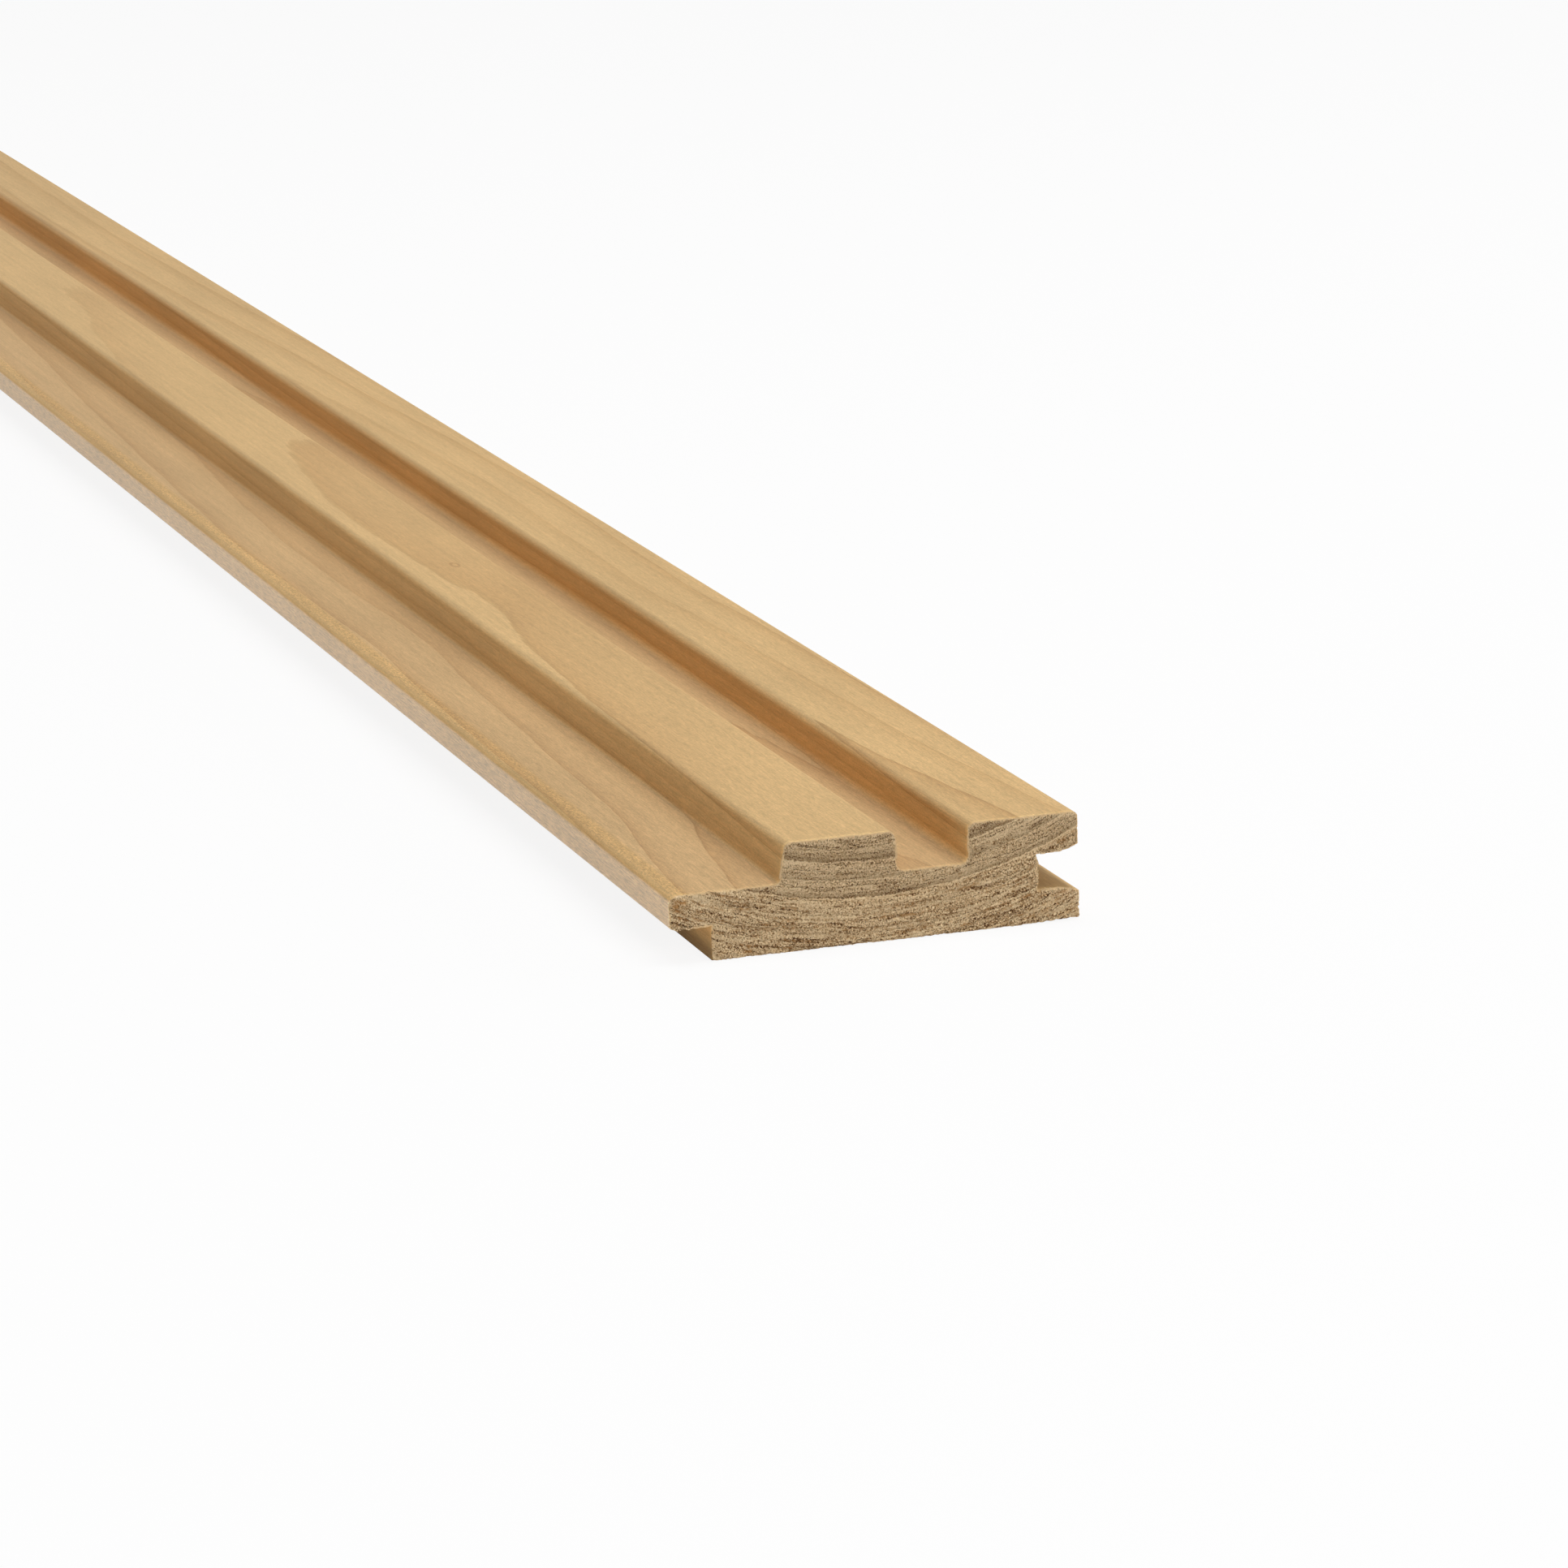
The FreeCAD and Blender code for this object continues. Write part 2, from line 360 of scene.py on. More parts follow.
class Graph:
    """A node tree that is being wired up, with short ways to add the nodes that wood needs."""

    def __init__(self, tree: bpy.types.NodeTree) -> None:
        """Keep the tree that nodes are added to."""
        self.tree = tree

    def add(self, kind: str, inputs: dict[str | int, object] | None = None,
            **settings: object) -> bpy.types.Node:
        """Add a node.

        Args:
            kind: Blender's name for the node's type.
            inputs: Values or sockets for its inputs, by name or number.
            settings: The node's own settings.

        Returns:
            The new node.
        """
        node = self.tree.nodes.new(kind)
        for name, value in settings.items():
            setattr(node, name, value)
        for key, value in (inputs or {}).items():
            self.feed(node.inputs[key], value)
        return node

    def feed(self, socket: bpy.types.NodeSocket, value: object) -> None:
        """Link a socket to an input, or set the input's own value.

        Args:
            socket: The input.
            value: Value or socket for it.
        """
        if isinstance(value, bpy.types.NodeSocket):
            self.tree.links.new(value, socket)
        else:
            socket.default_value = value

    def math(self, operation: str, first: object, second: object = 0.0,
             clamp: bool = False) -> bpy.types.NodeSocket:
        """Add a Math node and return its result."""
        inputs = {0: first, 1: second}
        return self.add("ShaderNodeMath", inputs, operation=operation, use_clamp=clamp).outputs[0]

    def product(self, first: object, *others: object) -> bpy.types.NodeSocket:
        """Multiply values.

        Args:
            first: Value or socket to start from.
            others: Values or sockets to multiply it by, in order.

        Returns:
            The product.
        """
        for other in others:
            first = self.math("MULTIPLY", first, other)
        return first

    def line(self, value: object, low: float, high: float, to_low: float = 0.0, to_high: float = 1.0,
             smooth: bool = False) -> bpy.types.NodeSocket:
        """Map a range onto another one, held at its ends.

        Args:
            value: Value or socket to map.
            low: Start of its range.
            high: End of its range.
            to_low: Result at the start.
            to_high: Result at the end.
            smooth: Whether the change eases in and out.

        Returns:
            The mapped value.
        """
        inputs = {"Value": value, "From Min": low, "From Max": high, "To Min": to_low, "To Max": to_high}
        kind = "SMOOTHSTEP" if smooth else "LINEAR"
        return self.add("ShaderNodeMapRange", inputs, interpolation_type=kind).outputs["Result"]

    def curve(self, value: object, points: Sequence[Pair],
              handles: str = "AUTO_CLAMPED") -> bpy.types.NodeSocket:
        """Look a value up on a curve.

        Args:
            value: Socket to look up.
            points: The curve, in order of its first number.
            handles: Blender's name for how the curve passes its points.

        Returns:
            The curve's height there, held at both ends.
        """
        low, high = points[0][0], points[-1][0]
        heights = [height for _, height in points]
        bottom, top = min(heights), max(heights)
        spots = [((place - low) / (high - low), (height - bottom) / (top - bottom))
                 for place, height in points]
        node = self.add("ShaderNodeFloatCurve", {"Value": self.line(value, low, high)})
        curve = node.mapping.curves[0]
        curve.points[0].location, curve.points[1].location = spots[0], spots[-1]
        for spot in spots[1:-1]:
            curve.points.new(*spot)
        for point in curve.points:
            point.handle_type = handles
        node.mapping.update()
        return self.line(node.outputs["Value"], 0.0, 1.0, bottom, top)

    def noise(self, place: object, grain: Grain) -> bpy.types.NodeSocket:
        """Add a noise.

        Args:
            place: Place to look up, in millimetres.
            grain: The noise.

        Returns:
            Its value, around 0.5.
        """
        shift = (grain.seed, grain.seed * 1.7, grain.seed * 2.3)
        placed = self.add("ShaderNodeMapping", {"Vector": place, "Location": shift, "Scale": grain.scale})
        inputs = {"Vector": placed.outputs[0], "Scale": 1.0, "Detail": grain.detail,
                  "Roughness": grain.roughness}
        return self.add("ShaderNodeTexNoise", inputs, noise_dimensions="3D").outputs["Fac"]

    def blend(self, factor: object, first: object, second: object,
              mode: str = "MIX") -> bpy.types.NodeSocket:
        """Mix two colours and return the result."""
        inputs = {0: factor, 6: first, 7: second}
        return self.add("ShaderNodeMix", inputs, data_type="RGBA", blend_type=mode).outputs[2]

    def band(self, value: object, centre: float, full: float, none: float) -> bpy.types.NodeSocket:
        """Mark the values near a centre.

        Args:
            value: Value or socket to look at.
            centre: Middle of the band.
            full: Distance from the centre up to which the mask is 1.
            none: Distance from which it is 0.

        Returns:
            The mask.
        """
        distance = self.math("ABSOLUTE", self.math("SUBTRACT", value, centre))
        return self.line(distance, none, full, smooth=True)

    def crumbs(self, place: object, grain: Grain) -> bpy.types.NodeSocket:
        """Add irregular crumbs with cracks between them.

        Args:
            place: Place to look up, in millimetres.
            grain: Size and seed of the crumbs.

        Returns:
            A value that is 0 in the cracks and 1 in the middle of each crumb.
        """
        shift = (grain.seed, 0.0, grain.seed)
        placed = self.add("ShaderNodeMapping", {"Vector": place, "Location": shift, "Scale": grain.scale})
        bend = self.add("ShaderNodeTexNoise", {"Vector": placed.outputs[0], "Scale": 1.4, "Detail": 1.0})
        inputs = {0: bend.outputs["Color"], 1: (1.3, 0.0, 1.3), 2: placed.outputs[0]}
        bent = self.add("ShaderNodeVectorMath", inputs, operation="MULTIPLY_ADD").outputs[0]
        inputs = {"Vector": bent, "Scale": 1.0}
        cells = self.add("ShaderNodeTexVoronoi", inputs, feature="DISTANCE_TO_EDGE")
        return self.line(cells.outputs["Distance"], 0.0, 0.28)

    def ramp(self, value: object, stops: Sequence[tuple[float, Colour]]) -> bpy.types.NodeSocket:
        """Turn a value into a colour through a row of stops.

        Args:
            value: Value to look up.
            stops: Places and colours, in order.

        Returns:
            The colour.
        """
        node = self.add("ShaderNodeValToRGB", {0: value})
        elements = node.color_ramp.elements
        for element, (place, colour) in zip(elements, (stops[0], stops[-1])):
            element.position = place
            element.color = colour
        for place, colour in stops[1:-1]:
            elements.new(place).color = colour
        return node.outputs["Color"]

    def total(self, parts: Sequence[tuple[object, float]], start: float = 0.0) -> bpy.types.NodeSocket:
        """Add values up, each with its own weight.

        Args:
            parts: Values or sockets with their weights.
            start: Number to start from.

        Returns:
            The sum.
        """
        total: object = start
        for value, weight in parts:
            inputs = {0: value, 1: weight, 2: total}
            total = self.add("ShaderNodeMath", inputs, operation="MULTIPLY_ADD").outputs[0]
        return total

    def shade(self, colour: object, mask: object, reach: float, low: float = 0.3,
              high: float = 0.7) -> bpy.types.NodeSocket:
        """Make a colour darker and lighter by a mask.

        Args:
            colour: Colour to change.
            mask: Mask to follow.
            reach: Share by which the darkest and the lightest differ.
            low: Mask value that is darkest.
            high: Mask value that is lightest.

        Returns:
            The shaded colour.
        """
        factor = self.line(mask, low, high, 1.0 - reach / 2, 1.0 + reach / 2)
        return self.blend(1.0, colour, factor, "MULTIPLY")


Sockets = Iterable[tuple[str, str]]


def shader_group(name: str, inputs: Sockets,
                 outputs: Sockets) -> tuple[Graph, bpy.types.Node, bpy.types.Node]:
    """Start a shader node group with named sockets.

    Args:
        name: Name of the group.
        inputs: Name and socket type of each input.
        outputs: Name and socket type of each output.

    Returns:
        The group's graph, its input node and its output node.
    """
    tree = bpy.data.node_groups.new(name, "ShaderNodeTree")
    for direction, sockets in (("INPUT", inputs), ("OUTPUT", outputs)):
        for socket_name, kind in sockets:
            tree.interface.new_socket(socket_name, in_out=direction, socket_type=kind)
    graph = Graph(tree)
    return graph, graph.add("NodeGroupInput"), graph.add("NodeGroupOutput")


def growth_rings(growth: Growth) -> bpy.types.NodeTree:
    """Make the group that tells each point of the wood its place among the year rings.

    Args:
        growth: How the board lies in the tree.

    Returns:
        A group from a place in millimetres to its distance from the tree's middle, its place round it,
        how late in the year the wood there grew, the thin dark line that ends a year, the ridge that
        starts one, which the sawn ends show with a painted highlight, and how open the wood is.
    """
    graph, given, result = shader_group(
        "growth_rings", [("Place", "NodeSocketVector")],
        [(name, "NodeSocketFloat") for name in
         ("Radius", "Round", "Latewood", "Year line", "Early ridge", "Openness")])
    place = given.outputs["Place"]
    parts = graph.add("ShaderNodeSeparateXYZ", {0: place})
    lean = graph.curve(parts.outputs["Y"], growth.lean)
    depth = graph.math("SUBTRACT", graph.math("ADD", lean, growth.pith_height), parts.outputs["Z"])
    squares = [graph.product(side, side) for side in (parts.outputs["X"], depth)]
    radius = graph.math("SQRT", graph.math("ADD", *squares))
    for grain, reach in growth.wobbles:
        wobble = graph.math("SUBTRACT", graph.noise(place, grain), 0.5)
        radius = graph.math("ADD", radius, graph.product(wobble, 2 * reach))

    years = [(radius_mm, float(number)) for number, (radius_mm, _) in enumerate(growth.boundaries)]
    share = graph.math("FRACT", graph.curve(radius, years, "VECTOR"))
    strength = graph.curve(radius, growth.boundaries, "VECTOR")
    late = graph.product(graph.math("POWER", share, growth.late_power),
                         graph.line(share, *growth.late_end, smooth=True))
    line = graph.product(graph.line(share, *growth.line_start), graph.line(share, *growth.line_end))
    turn = graph.math("ARCTAN2", parts.outputs["X"], depth)
    start, stop = growth.coarse_change
    opening = graph.line(radius, growth.coarse_from + start, growth.coarse_from + stop, smooth=True)
    found = {
        "Radius": radius,
        "Round": graph.product(turn, growth.pith_height),
        "Latewood": graph.product(late, strength),
        "Year line": graph.product(line, strength),
        "Early ridge": graph.product(graph.line(share, *growth.ridge, smooth=True), strength),
        "Openness": opening,
    }
    for name, value in found.items():
        graph.feed(result.inputs[name], value)
    return graph.tree


FIBRES: dict[str, Grain] = {
    "Fine": Grain((2.8, 0.17, 2.8), 11.0, 3.0, 0.7),
    "Short": Grain((2.9, 1.5, 2.9), 67.0, 2.0, 0.75),
    "Long": Grain((0.7, 0.02, 0.7), 23.0, 3.0),
    "Patches": Grain((0.035, 0.009, 0.035), 41.0),
}


def wood_fibres() -> bpy.types.NodeTree:
    """Make the group of fine fibres that run along the board.

    Returns:
        A group from a place in millimetres to fine streaks, short ones, long soft ones and broad patches.
    """
    graph, given, result = shader_group(
        "wood_fibres", [("Place", "NodeSocketVector")], [(name, "NodeSocketFloat") for name in FIBRES])
    for name, grain in FIBRES.items():
        graph.feed(result.inputs[name], graph.noise(given.outputs["Place"], grain))
    return graph.tree


# Finishes


class WoodMaterial:
    """A wood material under way, with the place in millimetres, the rings and the fibres at hand.

    Attributes:
        material: The material.
        graph: Its graph.
        shader: Its shader node.
        place: Place in the wood, in millimetres from the middle of the back at the near end.
        across: Place across the board.
        along: Distance from the near end.
        up: Height above the back.
        sideways: How far the surface faces sideways, from 0 to 1.
        rings: Node of the growth rings.
        fibres: Node of the fibres.
    """

    def __init__(self, name: str, rings: bpy.types.NodeTree, fibres: bpy.types.NodeTree) -> None:
        """Start the material.

        Args:
            name: The material's name.
            rings: Group made by growth_rings.
            fibres: Group made by wood_fibres.
        """
        self.material = bpy.data.materials.new(name)
        self.material.use_nodes = True
        self.graph = Graph(self.material.node_tree)
        self.shader = self.material.node_tree.nodes["Principled BSDF"]
        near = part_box(NODE)[0].y
        inside = self.graph.add("ShaderNodeTexCoord").outputs["Object"]
        scale = {"Vector": inside, "Location": (0.0, -near / MM, 0.0), "Scale": (1 / MM, 1 / MM, 1 / MM)}
        self.place = self.graph.add("ShaderNodeMapping", scale).outputs[0]
        parts = self.graph.add("ShaderNodeSeparateXYZ", {0: self.place})
        self.across, self.along, self.up = parts.outputs
        facing = self.graph.add("ShaderNodeTexCoord").outputs["Normal"]
        aside = self.graph.add("ShaderNodeSeparateXYZ", {0: facing}).outputs["X"]
        self.sideways = self.graph.math("ABSOLUTE", aside)
        self.rings = self.graph.add("ShaderNodeGroup", node_tree=rings)
        self.fibres = self.graph.add("ShaderNodeGroup", node_tree=fibres)
        self.graph.feed(self.rings.inputs["Place"], self.place)
        self.graph.feed(self.fibres.inputs["Place"], self.place)

    def finish(self, colour: object, height: object, depth: float, roughness: object,
               specular: float) -> bpy.types.Material:
        """Wire the shader up.

        Args:
            colour: Base colour.
            height: Height of the surface's texture, from 0 to 1.
            depth: Depth of that texture in metres.
            roughness: Roughness, all over or changing over the surface.
            specular: Strength of the gloss all over.

        Returns:
            The finished material.
        """
        self.graph.feed(self.shader.inputs["Base Color"], colour)
        bump = self.graph.add("ShaderNodeBump", {"Height": height, "Distance": depth})
        self.graph.feed(self.shader.inputs["Normal"], bump.outputs[0])
        self.graph.feed(self.shader.inputs["Roughness"], roughness)
        self.shader.inputs["Specular IOR Level"].default_value = specular
        return self.material


@dataclass(frozen=True)
class Tint:
    """A slight change of colour over one part of the section.

    Each band is a centre, the distance up to which the tint is full and the one from which it is gone.
    A band that isn't given takes in everything.

    Attributes:
        colour: Colour that the wood's own is multiplied by.
        up: Band of heights, in millimetres.
        across: Band of places across the board, in millimetres.
        sideways: Band of how far the surface faces sideways, from 0 to 1.
    """

    colour: Colour
    up: Band = (0.0, 90.0, 100.0)
    across: Band = (0.0, 90.0, 100.0)
    sideways: Band = (0.0, 2.0, 3.0)

    def mask(self, wood: WoodMaterial) -> bpy.types.NodeSocket:
        """Mark where the tint is.

        Args:
            wood: The material under way.

        Returns:
            The mask.
        """
        bands = ((wood.up, self.up), (wood.across, self.across), (wood.sideways, self.sideways))
        return wood.graph.product(*(wood.graph.band(value, *band) for value, band in bands))


@dataclass(frozen=True)
class PlanedFinish:
    """The planed faces: honey-coloured wood with a soft figure and fine fibres.

    Lengths are in millimetres. What changes along the board is given as the distances from the near end
    between which it changes, and its values at the two.

    Attributes:
        early: Colour of the wood that a year starts with.
        late: Colour of the wood that it ends with.
        late_reach: How fully late wood takes that colour.
        line: Colour of the thin line between two years.
        line_reach: How fully the line takes it, along the board.
        walls: Tint of the walls, partly the cut grain's own warmer colour and partly painted bounce light
            from the wood around them.
        recessed_floor_shade: Painted shade, a slightly darker tint of the shelf and the channel's floor,
            which lie below the strips.
        groove: Painted shade, a darker tint inside the edge groove.
        underside: Painted shade on the wall under the tongue, darkest at the back, where the tongue
            overhangs it.
        tip: Painted reflection, a paler and greyer colour on the tongue's tip that stands in for the white
            floor's sheen at a grazing angle.
        tip_fade: Distances from the tip between which its colour fades out.
        tip_streaks: How strongly fine fibres streak it.
        raised: Tint where the grain is raised, on the tongue's rounding.
        raised_grain: Noise of that grain.
        raised_reach: How strongly it shows.
        fuzz: Colour that the wood's own is multiplied by in the pale fuzz at both ends.
        fuzz_grain: Noise of its inner edge.
        fuzz_ragged: How far that edge moves in and out.
        fuzz_fade: Distances from an end at which the fuzz is gone and full, where that noise is 0.
        knot: Colour that the wood's own is multiplied by on the pin knot's outline.
        knot_place: Its place across and along the board.
        knot_size: Its size across and along the board.
        knot_outline: Band of the outline, as a share of that size.
        knot_height: Band of heights that show it.
        broad_streaks: Soft streaks and patches, with how strongly each shows.
        fine_streaks: Fine streaks, with how strongly each shows near the end.
        fine_reach: Share of that strength, along the board.
        relief: Depth of the fibres.
        roughness: Roughness of the faces.
        tip_roughness: Roughness of the tongue's tip, which is smoother.
        gloss: Strength of the gloss.
    """

    early: Colour = (0.665, 0.445, 0.206, 1.0)
    late: Colour = (0.52, 0.305, 0.125, 1.0)
    late_reach: float = 0.75
    line: Colour = (0.36, 0.185, 0.06, 1.0)
    line_reach: tuple[float, float, float, float] = (60.0, 400.0, 0.50, 0.20)
    # Partly the cut grain's own warmer colour, partly painted bounce light on the sideways-facing walls.
    walls: Tint = Tint((1.12, 1.05, 0.92, 1.0), sideways=(1.0, 0.05, 0.5))
    # Painted shade on the shelf and the channel's floor.
    recessed_floor_shade: Tint = Tint((0.935, 0.93, 0.985, 1.0), up=(16.0, 1.0, 5.0), sideways=(0.0, 0.3, 0.7))
    # Painted shade inside the edge groove.
    groove: Tint = Tint((0.68, 0.68, 0.66, 1.0), up=(12.35, 5.8, 7.0), across=(43.0, 4.5, 7.0))
    # Painted shade on the wall under the tongue, darkest at the back.
    underside: Tint = Tint((0.56, 0.56, 0.58, 1.0), up=(0.0, 1.0, 7.6), across=(-44.0, 4.1, 4.6))
    # Painted reflection of the white floor on the tongue's tip.
    tip: Colour = (0.90, 0.63, 0.36, 1.0)
    tip_fade: Pair = (0.04, 0.38)
    tip_streaks: float = 0.30
    raised: Tint = Tint((1.0, 0.96, 0.84, 1.0), up=(16.4, 1.0, 2.0), across=(-47.2, 0.8, 2.8))
    raised_grain: Grain = Grain((2.2, 0.8, 2.2), 71.0, 2.0, 0.7)
    raised_reach: float = 0.5
    fuzz: Colour = (1.20, 1.23, 1.25, 1.0)
    fuzz_grain: Grain = Grain((1.4, 0.3, 1.4), 97.0)
    fuzz_ragged: float = 3.0
    fuzz_fade: Pair = (0.6, -0.7)
    knot: Colour = (0.84, 0.80, 0.76, 1.0)
    knot_place: Pair = (-7.0, 346.0)
    knot_size: Pair = (1.2, 3.2)
    knot_outline: Band = (0.85, 0.1, 0.5)
    knot_height: Band = (26.0, 0.5, 1.0)
    broad_streaks: tuple[tuple[str, float], ...] = (("Patches", 0.10), ("Long", 0.12))
    fine_streaks: tuple[tuple[str, float], ...] = (("Fine", 0.32), ("Short", 0.26))
    fine_reach: tuple[float, float, float, float] = (60.0, 500.0, 1.0, 0.5)
    relief: float = 0.04
    roughness: float = 0.8
    tip_roughness: float = 0.4
    gloss: float = 0.2

    def build(self, rings: bpy.types.NodeTree, fibres: bpy.types.NodeTree) -> bpy.types.Material:
        """Build the material of the planed faces.

        Args:
            rings: Group made by growth_rings.
            fibres: Group made by wood_fibres.

        Returns:
            The material.
        """
        wood = WoodMaterial("planed_wood", rings, fibres)
        graph = wood.graph
        streaks = wood.fibres.outputs
        late = graph.product(wood.rings.outputs["Latewood"], self.late_reach)
        line = graph.product(wood.rings.outputs["Year line"], graph.line(wood.along, *self.line_reach))
        colour = graph.blend(late, self.early, self.late)
        colour = graph.blend(line, colour, self.line)
        # Painted bounce light on the walls, and painted shade on the shelf, the channel's floor, inside the
        # groove and under the tongue.
        for tint in (self.walls, self.recessed_floor_shade, self.groove, self.underside):
            colour = graph.blend(tint.mask(wood), colour, tint.colour, "MULTIPLY")
        colour = graph.blend(self._pin_knot(wood), colour, self.knot, "MULTIPLY")
        # Painted reflection: the tongue's tip is paler and greyer, standing in for the white floor's sheen;
        # the same mask makes it smoother.
        tip = graph.band(wood.across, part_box(NODE)[0].x / MM, *self.tip_fade)
        colour = graph.blend(tip, colour, graph.shade(self.tip, streaks["Fine"], self.tip_streaks))
        raised = graph.noise(wood.place, self.raised_grain)
        raised = graph.shade(self.raised.colour, raised, self.raised_reach)
        colour = graph.blend(self.raised.mask(wood), colour, raised, "MULTIPLY")
        for name, reach in self.broad_streaks:
            colour = graph.shade(colour, streaks[name], reach)
        strength = graph.line(wood.along, *self.fine_reach)
        for name, reach in self.fine_streaks:
            colour = graph.blend(strength, colour, graph.shade(colour, streaks[name], reach))
        colour = graph.blend(self._end_fuzz(wood), colour, self.fuzz, "MULTIPLY")
        roughness = graph.line(tip, 0.0, 1.0, self.roughness, self.tip_roughness)
        height = graph.total([(streaks[name], 0.5) for name, _ in self.fine_streaks])
        return wood.finish(colour, height, self.relief * MM, roughness, self.gloss)

    def _end_fuzz(self, wood: WoodMaterial) -> bpy.types.NodeSocket:
        """Mark the pale fuzz that the saw raised right at both ends.

        Args:
            wood: The material under way.

        Returns:
            A mask with a ragged inner edge.
        """
        graph = wood.graph
        low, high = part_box(NODE)
        half = (high.y - low.y) / MM / 2
        from_middle = graph.math("ABSOLUTE", graph.math("SUBTRACT", wood.along, half))
        inside = graph.math("SUBTRACT", half, from_middle)
        ragged = graph.noise(wood.place, self.fuzz_grain)
        edge = graph.total(((ragged, -self.fuzz_ragged), (inside, 1.0)))
        return graph.line(edge, *self.fuzz_fade, smooth=True)

    def _pin_knot(self, wood: WoodMaterial) -> bpy.types.NodeSocket:
        """Mark the dark outline of the pin knot in the middle strip.

        Args:
            wood: The material under way.

        Returns:
            The mask.
        """
        graph = wood.graph
        shares = [graph.math("DIVIDE", graph.math("SUBTRACT", value, centre), size) for value, centre, size
                  in zip((wood.across, wood.along), self.knot_place, self.knot_size)]
        squares = [graph.product(share, share) for share in shares]
        outline = graph.band(graph.math("SQRT", graph.math("ADD", *squares)), *self.knot_outline)
        return graph.product(outline, graph.band(wood.up, *self.knot_height))


@dataclass(frozen=True)
class SawnFinish:
    """The sawn ends: greyer end grain in crumbs, torn open in rows where the wood is coarse.

    The texture is a sum of parts, each with its weight, that the row of tones turns into colour. Its
    patterns are laid out round the tree and outwards from its middle, and so follow the rings.

    Attributes:
        tones: Colours of the wood, from its cracks to its lightest crumbs.
        start: Number that the texture's sum starts from.
        mottle: Fine mottling, with its weight.
        threads: Streaks along the rings, with their weight.
        small_crumbs: Crumbs of the close wood.
        large_crumbs: Crumbs of the open wood.
        crumb_weight: Weight of the crumbs.
        lines: Light and dark lines along the rings.
        seam: Noise that the painted ledges and cracks follow.
        ledge_highlight_and_crack_shade: Bands of that noise, first of the ledges' painted highlight and then
            of the painted shade in the cracks beside them, with their weights.
        holes: Holes in the open wood.
        ridge_highlight_weight: Weight of the painted highlight on the ridge that starts a year.
        torn_shade_weight: Weight of the painted shade that darkens the texture where the end is torn deep.
        pit: Colour inside the torn pits, partly the torn wood's own orange and partly painted shade.
        pit_reach: How fully the deepest take it.
        late: Colour that the wood's own is multiplied by where a year ends.
        late_reach: How fully late wood takes it where the wood is close, and where it is open.
        flakes: Noise of the crumbled rim.
        rim_dark: Colour between the rim's flakes.
        rim: Colour of the flakes, partly the crumbled fibres' own pale honey and partly a painted highlight
            where the end's edges catch the light.
        rim_change: Values of the noise between which the one colour turns into the other.
        rim_ragged: How far the rim's inner edge moves in and out.
        rim_fade: Nearness to the rim between which it comes in, where the noise is 0.
        rim_reach: How fully it takes its colour.
        shift: Noise that breaks up the edges of the rings.
        shift_reach: How far it shifts them at most, in millimetres.
        relief: Depth of the texture, in millimetres.
        roughness: Roughness all over.
        gloss: Strength of the gloss.
    """

    tones: tuple[tuple[float, Colour], ...] = (
        (0.20, (0.070, 0.026, 0.008, 1.0)), (0.36, (0.350, 0.180, 0.066, 1.0)),
        (0.50, (0.660, 0.435, 0.218, 1.0)), (0.64, (0.870, 0.610, 0.335, 1.0)),
        (0.82, (1.000, 0.770, 0.470, 1.0)))
    start: float = -0.625
    mottle: tuple[Grain, float] = (Grain((1.9, 1.0, 3.0), 57.0, 3.0, 0.7), 1.80)
    threads: tuple[Grain, float] = (Grain((0.06, 1.0, 1.3), 9.0, 2.0, 0.6), 0.16)
    small_crumbs: Grain = Grain((2.4, 1.0, 3.8), 17.0)
    large_crumbs: Grain = Grain((1.7, 1.0, 2.8), 37.0)
    crumb_weight: float = 0.66
    lines: tuple[Streak, ...] = (
        Streak(Grain((0.05, 1.0, 2.9), 29.0, 1.0), 0.56, 0.64, 0.15),
        Streak(Grain((0.07, 1.0, 3.0), 63.0, 1.0), 0.45, 0.37, -0.12))
    seam: Grain = Grain((0.05, 1.0, 0.75), 91.0, 1.0)
    ledge_highlight_and_crack_shade: tuple[tuple[Band, float], ...] = (((0.45, 0.015, 0.05), 0.14), ((0.53, 0.015, 0.05), -0.16))
    holes: Streak = Streak(Grain((0.5, 1.0, 2.3), 77.0), 0.40, 0.32, -0.22)
    ridge_highlight_weight: float = 0.16
    torn_shade_weight: float = -0.04
    pit: Colour = (0.62, 0.31, 0.095, 1.0)
    pit_reach: float = 0.55
    late: Colour = (0.44, 0.37, 0.30, 1.0)
    late_reach: Pair = (1.0, 0.40)
    flakes: Grain = Grain((1.6, 1.0, 1.6), 51.0, 3.0, 0.75)
    rim_dark: Colour = (0.68, 0.37, 0.13, 1.0)
    rim: Colour = (1.0, 0.71, 0.38, 1.0)
    rim_change: Pair = (0.26, 0.42)
    rim_ragged: float = 1.3
    rim_fade: Pair = (-0.04, 0.16)
    rim_reach: float = 0.9
    shift: Grain = Grain((1.3, 1.0, 1.3), 83.0, 3.0, 0.7)
    shift_reach: float = 0.3
    relief: float = 0.35
    roughness: float = 0.85
    gloss: float = 0.2

    def build(self, rings: bpy.types.NodeTree, fibres: bpy.types.NodeTree) -> bpy.types.Material:
        """Build the material of the sawn ends.

        Args:
            rings: Group made by growth_rings.
            fibres: Group made by wood_fibres.

        Returns:
            The material.
        """
        wood = WoodMaterial("sawn_wood", rings, fibres)
        graph = wood.graph
        openness = wood.rings.outputs["Openness"]
        torn, rim = (graph.add("ShaderNodeAttribute", attribute_name=name).outputs["Fac"]
                     for name in (TORN, RIM))
        texture = self._texture(wood, torn)
